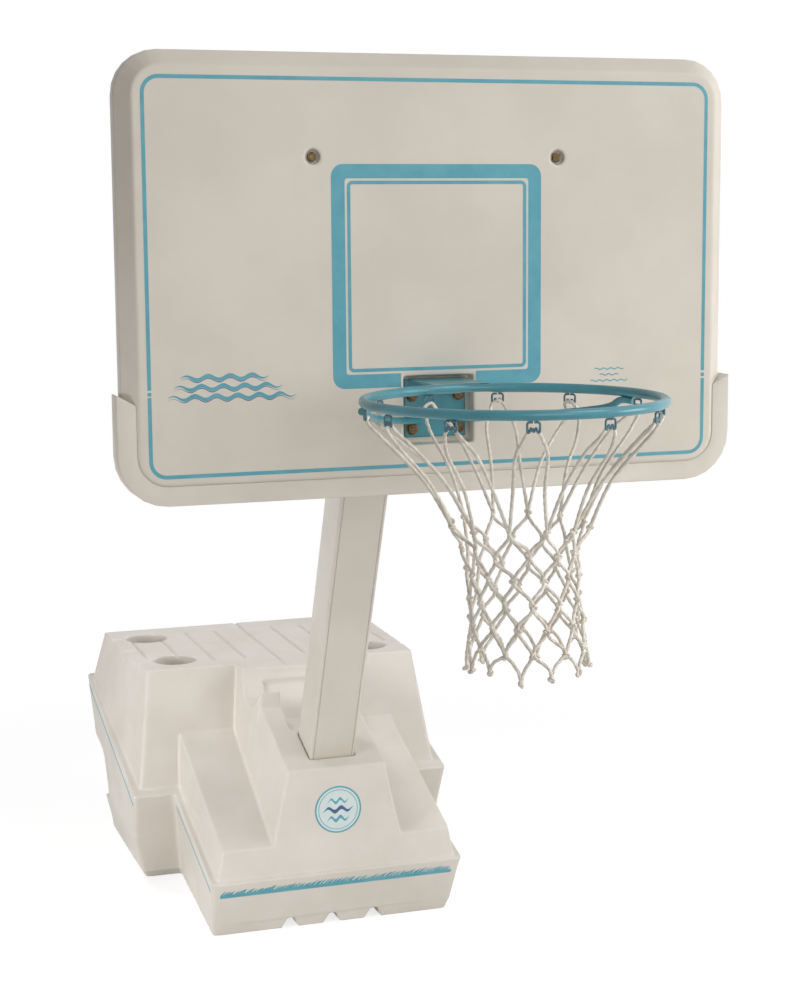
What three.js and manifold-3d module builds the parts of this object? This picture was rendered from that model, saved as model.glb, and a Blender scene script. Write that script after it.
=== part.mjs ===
// Poolside basketball hoop: a water-filled base with a leaning square pole, a backboard that
// tips forward on a hinge behind it, and a ring with a cord net over the water.
// Millimetres. +X is to the right as seen from the pool, -Y is towards the pool, +Z is up.
// The origin is the middle of the base's flat underside.

import * as THREE from 'three';
import { ConvexHull } from 'three/addons/math/ConvexHull.js';
import { mergeVertices } from 'three/addons/utils/BufferGeometryUtils.js';
import Module from 'manifold-3d';

const wasm = await Module();
wasm.setup();

const radians = THREE.MathUtils.degToRad;

// Clearances
const seatGap = 0.3; // between two pieces that touch
const overrun = 6; // how far a cutter stands past what it cuts
const weld = 8; // how far two joined shapes run into each other
const weldTolerance = 0.001; // points closer than this are one

// Tank: lower tub
const floorLength = 848;
const floorFrontY = -floorLength / 2;
const tankWall = 5;
const lipOverhang = 62; // the lip stands this far ahead of the floor's front edge
const lipFrontY = floorFrontY - lipOverhang;
const lipFrontHeight = 132;
const lipSlope = radians(15.4);
const wingLength = 356; // from the lip's front to the wide rear block
const lipLength = 930;
const wingLipHalfWidth = 274;
const wingFloorHalfWidth = 258;
const wingInnerFloorHalfWidth = 237;
const blockLipHalfWidth = 369;
const blockFloorHalfWidth = 319;
const blockFloorSetBack = 131; // rear block's front wall, lip to floor
const foldHeight = 115; // below it the rear block's walls turn inwards
const foldHalfWidth = 362;
const foldSetBack = 46;
const foldFrontSetBack = 8;
const foldInnerHalfWidth = 258;
const foldWingHalfWidth = 271;
const foldRearHalfWidth = 343;
const bilgeHeight = 28; // between it and the floor the edges are rounded
const bilgeHalfWidth = 335;
const bilgeSetBack = 86;
const bilgeFrontSetBack = 47;
const bilgeInnerHalfWidth = 246;
const bilgeWingHalfWidth = 264;
const bilgeRearHalfWidth = 323; // the low walls draw in towards the rear
const tubCornerRadius = 11;

// Tank: upper blocks
const frontLedge = 8;
const sideLedge = 14;
const stepHalfWidth = 250;
const stepFrontHeight = 199;
const deckSlope = radians(20.8);
const blockSideLedge = 19;
const blockFrontLedge = 26;
const blockRearLedge = 18;
const blockTopHeight = 495;
const blockTopHalfWidth = 316;
const blockFlare = 14; // its top is this much wider at the rear, on each side
const blockFootFlare = 11;
const blockTopFrontLean = 61; // the front wall leans back this far
const blockTopRearLean = 15;
const upperCornerRadius = 9;
const plateauHalfWidth = 107;
const plateauFrontHeight = 358;
const plateauFootHalfWidth = 144;
const plateauFootTaper = 19; // the foot of the middle block narrows this much to the rear
const cheekSetBack = 221; // from the front face to where the cheeks rise
const cheekBelowTop = 17; // the cheeks' crest, below the rear block's top
const cheekHeight = blockTopHeight - cheekBelowTop;
const cheekCrestSetBack = 376;

// Tank: hollows
const pocketHalfWidth = 62;
const pocketSetBack = 142; // from the front face
const pocketLength = 232;
const pocketDepth = 98; // below the rear block's top
const pocketRise = 30;
const pocketRearRise = 60;
const pocketFloorShare = 0.6;
const notchRadius = 88;
const notchSetBack = 301;
const notchLift = 22; // the notch's axis above the rear block's top
const cupRadius = 50;
const cupDepth = 62;
const cupX = 230; // of the front cups
const cupFlare = 16; // the rear cups stand this much further out
const cupSetBack = 93; // behind the top's front edge
const cupSpacing = 255;
const grooveWidth = 8;
const grooveDepth = 4;
const groovePitch = 72;
const grooveSetBack = 57;
const grooveLength = 322;
const shortGrooveLength = 190;
const edgeGroovePitch = 136;
const edgeGrooveInset = 26;
const edgeGrooveDrop = 22;
const footNotchPitch = 93;
const footNotchWidth = 37;
const footNotchTopWidth = 15;
const footNotchHeight = 20;
const footNotchLength = 110;
const gripLow = 96;
const gripHigh = 222;
const gripDepth = 130;
const gripFlare = 18;
const fillBelowTop = 87; // the water's level, below the rear block's top
const fillLevel = blockTopHeight - fillBelowTop;
const waterGap = 1;

// Filler and drain
const portRadius = 24;
const portBossRadius = 40;
const portBossStand = 8;
const portBossRoot = 30;
const portDepth = 42;
const fillerX = -205;
const fillerBelowTop = 57; // from the block's top down to the filler's axis
const drainX = 205;
const drainZ = 40;
const drainBossStand = 4.6; // of its face, from the most that the rear wall leans past it
const capChamfer = 1;
const capRound = 2;
const drainShare = 0.7; // of the filler's sizes
const capFlange = 9;
const capRim = 10;
const capThread = 16;
const capLugs = 8;
const capLugRadius = 4;
const gasketThickness = 2.5;
const gasketWidth = 7;

// Pole
const poleSize = 98;
const poleWall = 3;
const poleCornerRadius = 5;
const poleLean = radians(22.7);
const poleSetBack = 26; // where its axis crosses the plateau, behind the floor's front edge
const poleInsert = 360;
const poleTopAboveRim = 102;
const socketClearance = 1.5;
const poleCapThickness = 4;
const poleCapSkirt = 18;

// Backboard
const boardAheadOfPole = 379.966; // its face, from the pole's axis at the ring's height
const boardDepth = 51;
const boardWall = 5;
const boardHalfWidth = 552.5;
const boardHeight = 741;
const boardCornerRadius = 74;
const bevelWidth = 26;
const bevelDepth = 24;
const boardBelowRim = 180;
const ribThickness = 5;
const ribSetBack = 8;
const ribX = [165, 330, 440];
const ribHeight = [290, 430, 660];
const mountBoltX = 222;
const mountBoltAboveRim = 387;
const bossRadius = 24;
const bossPocketRadius = 13;
const bossPocketDepth = 9;
const recessHalfWidth = 64.5;
const recessTopAboveRim = 14;
const recessHeight = 119;
const recessDepth = 24;
const recessBorder = 22;

// Bumper round the board's lower edge
const bumperWidth = 12;
const bumperSetBack = 2.5;
const bumperRearSetBack = 8;
const bumperAboveRim = 2;
const bumperFacet = 25;

// Frame behind the board
const tubeSize = 30;
const tubeWall = 2;
const uprightX = 80;
const uprightBelowRim = 133;
const topRailHalfLength = 250;
const mountPlateThickness = 8;
const mountPlateBelowRim = 121;
const mountPlateHeight = 165;
const earThickness = 6;
const earHeight = 110;
const earWasherRadius = 14;
const earCornerRise = 18;
const hubRadius = 22;
const footHeight = 84;
const hingeBehindBoard = 114;
const hingeBelowRim = 98;
const hingePinRadius = 8;
const noseRadius = 26;

// Pole head
const headPlateThickness = 6;
const headPlateFromTop = 20; // along the pole, down from its top
const headPlateLength = 220;
const headPlateInset = 12;
const headBoltRadius = 6;
const headBoltInset = 45;

// Release lever and brake
const tiltRange = radians(55);
const quadrantRadius = 110;
const quadrantThickness = 8;
const shoeAngle = radians(50); // where the shoe presses, from the rear towards the top
const shoeHalfAngle = radians(9);
const quadrantMargin = radians(12);
const liningThickness = 3;
const shoeThickness = 9;
const pivotRise = 61; // from the shoe up to the lever's pivot
const pivotForward = 24;
const pivotPinRadius = 6;
const pivotLugRadius = 20;
const leverHalfWidth = 9;
const leverThickness = 8;
const leverHeadRadius = 14;
const leverAbovePole = 30;
const leverKneeAhead = 142; // of the pole cap's rear edge
const leverReach = 250;
const leverRise = 18;
const gripLength = 105;
const gripWall = 5;
const springTurns = 5;
const springWire = 1;
const springPitch = 3.2;
const springLeg = 26;

// Ring, brace, hooks
const rimHeight = 1218;
const rimInside = 457.2;
const rimRod = 16;
const rimRadius = (rimInside + rimRod) / 2;
const rimFromBoard = 351.7;
const bracketHalfWidth = 56.5;
const bracketHeight = 103;
const bracketThickness = 4;
const flangeHalfWidth = 50;
const bracketBoltX = 42.8;
const bracketBoltLow = 80; // below the ring's centre line
const bracketBoltHigh = 22;
const bracketBoltRadius = 5;
const braceRod = 12;
const braceAngle = radians(107);
const braceInset = 24;
const braceDrop = 15;
const braceBendShares = [-0.5, 0.5, 2]; // of its inset, along its way to its foot
const braceMiddleShare = 0.5;
const braceLoopAngle = radians(135); // of the net's loops that pass over it
const braceFootX = 30;
const braceFootBelowRim = 66;
const hookCount = 12;
const hookWire = 3.6;
const hookHalfWidth = 8.5;
const hookHeight = 15;
// From its top to the middle of its low side: shares of its half-width and of its height.
const hookOutlineShares = [[0.18, 1], [0.5, 1], [0.8, 0.75], [1, 0.25], [0.67, 0]];
const hookDipShare = 0.21;
const hookShift = radians(5); // the hooks beside the brace's ends stand aside

// Net
const cordRadius = 3;
const knotRadius = 4.6;
const knotReach = 6.4; // from a knot's middle to where its strands begin, at least
const knotReachShare = 1.06; // of the least reach that keeps two strands apart
const loopDrop = 21;
const loopFanShares = [0.2, 0.45]; // how far a loop's strands have spread at each bend
const apexHalfWidth = 5;
const netRowDrops = [196, 235, 274, 313, 352, 391, 436];
const netRowRadii = [112, 93, 87, 86.5, 89, 94, 98];
const netRowSways = [8, 11, 14, 19, 22, 24, 24];
const netBellDrops = [60, 125];
const netBellRadii = [206, 152];
const braceLoopDrops = [46, 84]; // the loops over the brace pass outside it
const braceLoopRadii = [250, 206];

// Fasteners
const washerStand = 3;
const hexHeadShare = 1.6; // across the flats' half-width, of the shank's radius
const hexHeightShare = 1.3;
const flangeShare = 2.1;
const flangeHeightShare = 0.3;
const nutHeightShare = 1.6;
const threadPast = 3; // a bolt's end stands this far past its nut
const maxRoundShare = 0.45; // the most of an edge that a rounded corner takes

// Facets
const shankFacets = 10;
const boreFacets = 18; // of holes that a pin turns in
const tubRoundSteps = 3;
const upperRoundSteps = 2;
const cupFacets = 20;
const notchFacets = 28;
const lugFacets = 6;
const boardArcSteps = 6;
const discFacets = 18;
const arcSteps = 18;
const ringFacets = 48;
const rodFacets = 8;
const hookFacets = 5;
const hookSteps = 13;
const cordFacets = 5;
const springTurnSteps = 8;
const braceSteps = 11;

// Places worked out from the sizes above
const lipRise = Math.tan(lipSlope);
const deckRise = Math.tan(deckSlope);
const lipZ = (y) => lipFrontHeight + (y - lipFrontY) * lipRise;
const upperFrontY = lipFrontY + frontLedge;
const stepZ = (y) => stepFrontHeight + (y - upperFrontY) * deckRise;
const plateauZ = (y) => plateauFrontHeight + (y - upperFrontY) * deckRise;
const blockLipY = lipFrontY + wingLength;
const lipRearY = lipFrontY + lipLength;
const blockTopFrontY = blockLipY + blockFrontLedge + blockTopFrontLean;
const blockTopRearY = lipRearY - blockRearLedge - blockTopRearLean;
const poleFoot = new THREE.Vector3(0, floorFrontY + poleSetBack, 0);
poleFoot.z = plateauZ(poleFoot.y);
const poleTurn = new THREE.Euler(poleLean, 0, 0);
const onPole = (back, along) =>
  new THREE.Vector3(0, back, along).applyEuler(poleTurn).add(poleFoot);
const poleStand = (rimHeight + poleTopAboveRim - poleFoot.z) / Math.cos(poleLean);
const headPlateHigh = poleStand - headPlateFromTop;
const headPlateLow = headPlateHigh - headPlateLength;
const boardFaceY = poleFoot.y - (rimHeight - poleFoot.z) * Math.tan(poleLean) - boardAheadOfPole;
const boardRearY = boardFaceY + boardDepth;
const boardBottomZ = rimHeight - boardBelowRim;
const boardTopZ = boardBottomZ + boardHeight;
const mountBoltZ = rimHeight + mountBoltAboveRim;
const recessTopZ = rimHeight + recessTopAboveRim;
const recessFloorY = boardFaceY + recessDepth;
const frameFrontY = boardRearY + seatGap;
const hinge = new THREE.Vector3(0, boardRearY + hingeBehindBoard, rimHeight - hingeBelowRim);
const rimCentreY = boardFaceY - rimFromBoard;
const bracketRearY = recessFloorY - seatGap;
const bracketFrontY = bracketRearY - bracketThickness;
const flangeTopZ = rimHeight + rimRod / 2;
const headPlateX = poleSize / 2 + seatGap + headPlateThickness / 2;
const headOuterX = headPlateX + headPlateThickness / 2;
const earX = uprightX - tubeSize / 2 - seatGap - earThickness / 2;

// Finishes
const finish = (color, roughness, metalness = 0) =>
  new THREE.MeshStandardMaterial({ color, roughness, metalness });
const finishes = {
  tank: finish('#d4cfc4', 0.55),
  board: finish('#d6d0c6', 0.5),
  bumper: finish('#cfc9be', 0.6),
  pole: finish('#d3cec4', 0.35),
  blue: finish('#5f9fb2', 0.35),
  zinc: finish('#b9b2a0', 0.4, 0.9),
  brassy: finish('#b59a52', 0.4, 0.9),
  black: finish('#2b2c2e', 0.7),
  cord: finish('#f0ece6', 0.85),
  water: finish('#9fc6cf', 0.1),
};

// Solids
function toSolid(geometry) {
  const bare = geometry.clone();
  bare.deleteAttribute('normal');
  bare.deleteAttribute('uv');
  const merged = mergeVertices(bare, weldTolerance);
  const corner = (i) => new THREE.Vector3().fromBufferAttribute(merged.attributes.position, i);
  const faces = [];
  let volume = 0;
  for (let i = 0; i < merged.index.count; i += 3) {
    const face = [0, 1, 2].map((step) => merged.index.getX(i + step));
    if (new Set(face).size < 3) continue;
    const [a, b, c] = face.map(corner);
    volume += a.dot(b.cross(c));
    faces.push(face);
  }
  const outward = volume < 0 ? faces.map((face) => face.reverse()) : faces;
  const mesh = new wasm.Mesh({
    numProp: 3,
    vertProperties: new Float32Array(merged.attributes.position.array),
    triVerts: new Uint32Array(outward.flat()),
  });
  mesh.merge();
  return new wasm.Manifold(mesh);
}

function toGeometry(solid) {
  const mesh = solid.getMesh();
  const geometry = new THREE.BufferGeometry();
  const positions = new Float32Array(mesh.vertProperties);
  geometry.setAttribute('position', new THREE.BufferAttribute(positions, 3));
  geometry.setIndex(new THREE.BufferAttribute(new Uint32Array(mesh.triVerts), 1));
  const flat = geometry.toNonIndexed();
  flat.computeVertexNormals();
  return flat;
}

const join = (...parts) => toGeometry(parts.map(toSolid).reduce((whole, part) => whole.add(part)));
const cut = (whole, ...cutters) =>
  toGeometry(cutters.map(toSolid).reduce((rest, cutter) => rest.subtract(cutter), toSolid(whole)));

function largestPiece(geometry) {
  const pieces = toSolid(geometry).decompose();
  return toGeometry(pieces.reduce((best, piece) => (piece.volume() > best.volume() ? piece : best)));
}

// Rounds the corners of a closed outline of points.
function roundCorners(points, radius, steps) {
  return points.flatMap((corner, i) => {
    const before = points.at(i - 1);
    const after = points[(i + 1) % points.length];
    const reach = (other) => Math.min(radius / corner.distanceTo(other), maxRoundShare);
    const start = corner.clone().lerp(before, reach(before));
    const end = corner.clone().lerp(after, reach(after));
    return new THREE.QuadraticBezierCurve3(start, corner, end).getPoints(steps);
  });
}

// Joins outlines of equal point counts into one closed solid. Seen from the last outline,
// each runs anticlockwise.
function loft(rings, flatten) {
  const count = rings[0].length;
  const index = [];
  for (let level = 0; level + 1 < rings.length; level += 1) {
    for (let i = 0; i < count; i += 1) {
      const a = level * count + i;
      const b = level * count + ((i + 1) % count);
      index.push(a, b, b + count, a, b + count, a + count);
    }
  }
  const top = (rings.length - 1) * count;
  for (const [a, b, c] of THREE.ShapeUtils.triangulateShape(rings[0].map(flatten), [])) {
    index.push(c, b, a);
  }
  for (const [a, b, c] of THREE.ShapeUtils.triangulateShape(rings.at(-1).map(flatten), [])) {
    index.push(top + a, top + b, top + c);
  }
  const geometry = new THREE.BufferGeometry();
  geometry.setAttribute('position', new THREE.Float32BufferAttribute(
    rings.flat().flatMap((point) => point.toArray()), 3));
  geometry.setIndex(index);
  return geometry;
}
const fromAbove = (point) => new THREE.Vector2(point.x, point.y);
const fromFront = (point) => new THREE.Vector2(point.x, point.z);

const box = (low, high) => {
  const size = new THREE.Vector3().subVectors(high, low);
  const middle = new THREE.Vector3().addVectors(low, high).multiplyScalar(0.5);
  return new THREE.BoxGeometry(...size.toArray()).translate(...middle.toArray());
};
const vector = (x, y, z) => new THREE.Vector3(x, y, z);

// Turns a geometry whose own axis is +Z to lie along a direction from a point.
function aim(geometry, from, direction) {
  const up = new THREE.Vector3(0, 0, 1);
  const turn = new THREE.Quaternion().setFromUnitVectors(up, direction.clone().normalize());
  return geometry.applyQuaternion(turn).translate(...from.toArray());
}

// A straight round rod from one point to another.
function rod(from, to, radius, facets) {
  const along = new THREE.Vector3().subVectors(to, from);
  const length = along.length();
  const geometry = new THREE.CylinderGeometry(radius, radius, length, facets);
  geometry.rotateX(Math.PI / 2).translate(0, 0, length / 2);
  return aim(geometry, from, along);
}
const crossRod = (y, z, halfLength, radius, facets) =>
  rod(vector(-halfLength, y, z), vector(halfLength, y, z), radius, facets);

// A round bar bent along a smooth line through the points.
function bentRod(points, radius, facets, steps) {
  const section = new THREE.Shape();
  for (let i = 0; i < facets; i += 1) {
    const angle = (2 * Math.PI * i) / facets;
    const place = [radius * Math.cos(angle), radius * Math.sin(angle)];
    if (i === 0) section.moveTo(...place);
    else section.lineTo(...place);
  }
  section.closePath();
  const path = new THREE.CatmullRomCurve3(points, false, 'centripetal');
  return new THREE.ExtrudeGeometry(section, { steps, extrudePath: path });
}

const shapeOf = (points) => new THREE.Shape(points.map(([u, v]) => new THREE.Vector2(u, v)));

// A flat piece drawn in Y and Z, centred on a place across the hoop.
function sidePlate(shape, thickness, x) {
  const plate = new THREE.ExtrudeGeometry(shape, { depth: thickness, bevelEnabled: false });
  const turn = new THREE.Matrix4().makeBasis(vector(0, 1, 0), vector(0, 0, 1), vector(1, 0, 0));
  return plate.applyMatrix4(turn).translate(x - thickness / 2, 0, 0);
}

// A piece drawn in X and Z, from a rear plane forward.
function frontPlate(shape, rearY, thickness) {
  const plate = new THREE.ExtrudeGeometry(shape, { depth: thickness, bevelEnabled: false });
  return plate.rotateX(Math.PI / 2).translate(0, rearY, 0);
}

// The outline of a band stretched round circles and points, given as [y, z, radius].
function bandOutline(discs, facets) {
  const points = discs.flatMap(([y, z, radius]) => {
    if (!radius) return [[y, z]];
    return Array.from({ length: facets }, (_, i) => {
      const angle = (2 * Math.PI * i) / facets;
      return [y + radius * Math.cos(angle), z + radius * Math.sin(angle)];
    });
  });
  points.sort((a, b) => a[0] - b[0] || a[1] - b[1]);
  const half = (list) => list.reduce((chain, point) => {
    const turns = () => {
      const [a, b] = chain.slice(-2);
      return (b[0] - a[0]) * (point[1] - a[1]) - (b[1] - a[1]) * (point[0] - a[0]) <= 0;
    };
    while (chain.length > 1 && turns()) chain.pop();
    chain.push(point);
    return chain;
  }, []);
  return shapeOf([...half(points).slice(0, -1), ...half(points.reverse()).slice(0, -1)]);
}

// Hex bolt along +Z: the head's seat is at 0 and the shank runs up from it.
function hexBolt(radius, length) {
  const headHeight = radius * hexHeightShare;
  const headRadius = radius * hexHeadShare / Math.cos(Math.PI / 6);
  const head = rod(vector(0, 0, -headHeight), vector(0, 0, 0), headRadius, 6);
  const flangeFoot = vector(0, 0, -radius * flangeHeightShare);
  const flange = rod(flangeFoot, vector(0, 0, 0), radius * flangeShare, shankFacets);
  const shank = rod(vector(0, 0, -headHeight / 2), vector(0, 0, length), radius, shankFacets);
  return join(head, flange, shank);
}

function hexNut(radius) {
  const height = radius * nutHeightShare;
  const outside = radius * hexHeadShare / Math.cos(Math.PI / 6);
  const body = rod(vector(0, 0, 0), vector(0, 0, height), outside, 6);
  const hole = rod(vector(0, 0, -overrun), vector(0, 0, height + overrun), radius + seatGap, shankFacets);
  return cut(body, hole);
}

// Lower tub of the tank: outlines from the floor up to the sloping lip.
const rearAt = (z) => floorLength / 2 + (lipRearY - floorLength / 2) * (z / lipZ(lipRearY));
const tubLevels = [
  { frontY: floorFrontY, wingX: wingFloorHalfWidth, innerX: wingInnerFloorHalfWidth,
    shoulderY: blockLipY + blockFloorSetBack, blockX: blockFloorHalfWidth, rearX: blockFloorHalfWidth,
    rearY: rearAt(0),
    height: () => 0 },
  { frontY: lipFrontY + bilgeFrontSetBack, wingX: bilgeWingHalfWidth, innerX: bilgeInnerHalfWidth,
    shoulderY: blockLipY + bilgeSetBack, blockX: bilgeHalfWidth, rearX: bilgeRearHalfWidth,
    rearY: rearAt(bilgeHeight),
    height: () => bilgeHeight },
  { frontY: lipFrontY + foldFrontSetBack, wingX: foldWingHalfWidth, innerX: foldInnerHalfWidth,
    shoulderY: blockLipY + foldSetBack, blockX: foldHalfWidth, rearX: foldRearHalfWidth,
    rearY: rearAt(foldHeight),
    height: () => foldHeight },
  { frontY: lipFrontY, wingX: wingLipHalfWidth, innerX: wingLipHalfWidth,
    shoulderY: blockLipY, blockX: blockLipHalfWidth, rearX: blockLipHalfWidth, rearY: lipRearY,
    height: lipZ },
];

function tubRing(level, inset, lift) {
  const front = level.frontY + inset;
  const shoulder = level.shoulderY + inset;
  const rear = level.rearY - inset;
  const wing = level.wingX - inset;
  const inner = level.innerX - inset;
  const block = level.blockX - inset;
  const right = [[wing, front], [inner, shoulder], [block, shoulder], [level.rearX - inset, rear]];
  const left = right.map(([x, y]) => [-x, y]).reverse();
  const corners = [...right, ...left].map(([x, y]) => vector(x, y, level.height(y) + lift));
  return roundCorners(corners, tubCornerRadius, tubRoundSteps);
}

function tub(inset) {
  const rings = tubLevels.map((level, i) => {
    const lifts = { 0: inset, 3: -inset };
    return tubRing(level, inset, lifts[i] ?? 0);
  });
  return loft(rings, fromAbove);
}

// A block whose footprint and top are outlines symmetric about X = 0, given as [x, y, z] on
// the right side from front to rear.
function symmetricBlock(foot, top, cornerRadius) {
  const ring = (side) => {
    const left = side.map(([x, y, z]) => [-x, y, z]).reverse();
    return roundCorners([...side, ...left].map((place) => vector(...place)), cornerRadius, upperRoundSteps);
  };
  return loft([ring(foot), ring(top)], fromAbove);
}

function frontBlock(inset) {
  const front = upperFrontY + inset;
  const rear = blockTopFrontY + weld;
  const footX = wingLipHalfWidth - sideLedge - inset;
  const topX = stepHalfWidth - inset;
  const footZ = (y) => lipZ(y) - weld - inset;
  const topZ = (y) => stepZ(y) - inset;
  return symmetricBlock(
    [[footX, front, footZ(front)], [footX, rear, footZ(rear)]],
    [[topX, front, topZ(front)], [topX, rear, topZ(rear)]],
    upperCornerRadius);
}

function rearBlock(inset) {
  const footFront = blockLipY + blockFrontLedge + inset;
  const footRear = lipRearY - blockRearLedge - inset;
  const footX = blockLipHalfWidth - blockSideLedge - inset;
  const footZ = (y) => lipZ(y) - weld - inset;
  const topX = blockTopHalfWidth - inset;
  const topZ = blockTopHeight - inset;
  return symmetricBlock(
    [[footX, footFront, footZ(footFront)], [footX + blockFootFlare, footRear, footZ(footRear)]],
    [[topX, blockTopFrontY + inset, topZ], [topX + blockFlare, blockTopRearY - inset, topZ]],
    upperCornerRadius);
}

const cheekY = upperFrontY + cheekSetBack;
const crestY = upperFrontY + cheekCrestSetBack;
const middleFootX = (y) =>
  plateauFootHalfWidth - plateauFootTaper * ((y - upperFrontY) / cheekCrestSetBack);

function middleBlock(inset) {
  const front = upperFrontY + inset;
  const rear = cheekY + weld;
  const foot = (y) => [middleFootX(y) - inset, y, stepZ(y) - weld - inset];
  const top = (y) => [plateauHalfWidth - inset, y, plateauZ(y) - inset];
  return symmetricBlock([foot(front), foot(rear)], [top(front), top(rear)], upperCornerRadius);
}

function cheekBlock(inset) {
  const front = cheekY + inset;
  const rear = blockTopFrontY + weld;
  const foot = (y) => [middleFootX(y) - inset, y, stepZ(y) - weld - inset];
  const top = (y, z) => [plateauHalfWidth - inset, y, z - inset];
  return symmetricBlock(
    [foot(front), foot(crestY), foot(rear)],
    [top(front, cheekHeight), top(crestY, blockTopHeight), top(rear, blockTopHeight)],
    upperCornerRadius);
}

const tankMass = (inset) =>
  join(tub(inset), frontBlock(inset), rearBlock(inset), middleBlock(inset), cheekBlock(inset));

// Hollows of the tank, each grown by the wall where the water space keeps clear of it.
function poleSocket(grow) {
  const half = poleSize / 2 + socketClearance + grow;
  const low = vector(-half, -half, -poleInsert - seatGap - grow);
  const socket = box(low, vector(half, half, poleInsert));
  return socket.applyQuaternion(new THREE.Quaternion().setFromEuler(poleTurn))
    .translate(...poleFoot.toArray());
}

function ballPocket(grow) {
  const front = upperFrontY + pocketSetBack - grow;
  const rear = upperFrontY + pocketSetBack + pocketLength + grow;
  const floor = blockTopHeight - pocketDepth - grow;
  const outline = shapeOf([
    [front, floor], [front + pocketLength * pocketFloorShare, floor],
    [rear - pocketRise, floor + pocketRise], [rear, floor + pocketRearRise],
    [rear, blockTopHeight + overrun], [front, blockTopHeight + overrun],
  ]);
  return sidePlate(outline, (pocketHalfWidth + grow) * 2, 0);
}

const fingerNotch = (grow) => crossRod(
  upperFrontY + notchSetBack, blockTopHeight + notchLift,
  plateauFootHalfWidth + overrun, notchRadius + grow, notchFacets);

const cupMiddleY = blockTopFrontY + cupSetBack + cupSpacing / 2;
function cupHolders(grow) {
  const cups = [];
  for (const side of [-1, 1]) {
    for (const [out, y] of [[0, cupMiddleY - cupSpacing / 2], [cupFlare, cupMiddleY + cupSpacing / 2]]) {
      const x = side * (cupX + out);
      const low = vector(x, y, blockTopHeight - cupDepth - grow);
      cups.push(rod(low, vector(x, y, blockTopHeight + overrun), cupRadius + grow, cupFacets));
    }
  }
  return cups;
}

function footNotches(grow) {
  return [-footNotchPitch, 0, footNotchPitch].map((x) => {
    const foot = footNotchWidth / 2 + grow;
    const top = footNotchTopWidth / 2 + grow;
    const outline = shapeOf([
      [x - foot, -overrun], [x + foot, -overrun], [x + foot, 0],
      [x + top, footNotchHeight + grow], [x - top, footNotchHeight + grow], [x - foot, 0],
    ]);
    const rear = floorFrontY + footNotchLength + grow;
    return frontPlate(outline, rear, rear - lipFrontY + overrun);
  });
}

function gripRecess(grow) {
  const inner = lipRearY - gripDepth - grow;
  const outer = lipRearY + overrun;
  const outline = shapeOf([
    [inner, gripLow + gripFlare - grow], [inner + gripFlare, gripLow - grow],
    [outer, gripLow - gripFlare - grow], [outer, gripHigh + gripFlare + grow],
    [inner + gripFlare, gripHigh + grow], [inner, gripHigh - gripFlare + grow],
  ]);
  return sidePlate(outline, (blockLipHalfWidth + overrun) * 2, 0);
}

// The block's top is a little wider at the rear.
const topEdgeAt = (y) =>
  blockTopHalfWidth + blockFlare * (y - blockTopFrontY) / (blockTopRearY - blockTopFrontY);

function topGrooves() {
  const groove = (x0, x1, y0, y1, depth) =>
    box(vector(x0, y0, blockTopHeight - depth), vector(x1, y1, blockTopHeight + overrun));
  const alongY = (x, y0, y1) => groove(x - grooveWidth / 2, x + grooveWidth / 2, y0, y1, grooveDepth);
  const start = blockTopFrontY + grooveSetBack;
  const grooves = [alongY(0, crestY, blockTopRearY + overrun)];
  for (const side of [-1, 1]) {
    for (const step of [1, 2]) grooves.push(alongY(side * step * groovePitch, start, start + grooveLength));
    for (const step of [3, 4]) {
      grooves.push(alongY(side * step * groovePitch, cupMiddleY - shortGrooveLength / 2,
        cupMiddleY + shortGrooveLength / 2));
    }
    for (const step of [-1, 0, 1]) {
      const y0 = cupMiddleY + step * edgeGroovePitch - grooveWidth / 2;
      const y1 = y0 + grooveWidth;
      const edge = topEdgeAt(y0);
      const inner = edge - edgeGrooveInset;
      const outer = blockLipHalfWidth;
      const [low, high] = side > 0 ? [inner, outer] : [-outer, -inner];
      grooves.push(groove(low, high, y0, y1, grooveDepth));
      const [edgeLow, edgeHigh] = side > 0 ? [edge, outer] : [-outer, -edge];
      grooves.push(groove(edgeLow, edgeHigh, y0, y1, edgeGrooveDrop));
    }
  }
  return grooves;
}

// Filler and drain: each a round boss on the rear wall with a hole, a plug and a gasket.
const drainReach = portBossRadius * drainShare;
const drainFaceY = Math.max(rearAt(drainZ - drainReach), rearAt(drainZ + drainReach)) + drainBossStand;
const fillerZ = blockTopHeight - fillerBelowTop;
const fillerAboveLip = fillerZ - portBossRadius > lipZ(lipRearY);
const fillerWallY = fillerAboveLip ? blockTopRearY + blockTopRearLean / 2 : lipRearY;
const fillerFaceY = fillerWallY + portBossStand;
const ports = {
  filler: { x: fillerX, z: fillerZ, share: 1, faceY: fillerFaceY },
  drain: { x: drainX, z: drainZ, share: drainShare, faceY: drainFaceY },
};
const portBoss = ({ x, z, share, faceY }) =>
  rod(vector(x, faceY - portBossRoot, z), vector(x, faceY, z), portBossRadius * share, cupFacets);
const portHole = ({ x, z, share, faceY }, grow) =>
  rod(vector(x, faceY - portDepth, z), vector(x, faceY + overrun, z), portRadius * share + grow, cupFacets);

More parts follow.
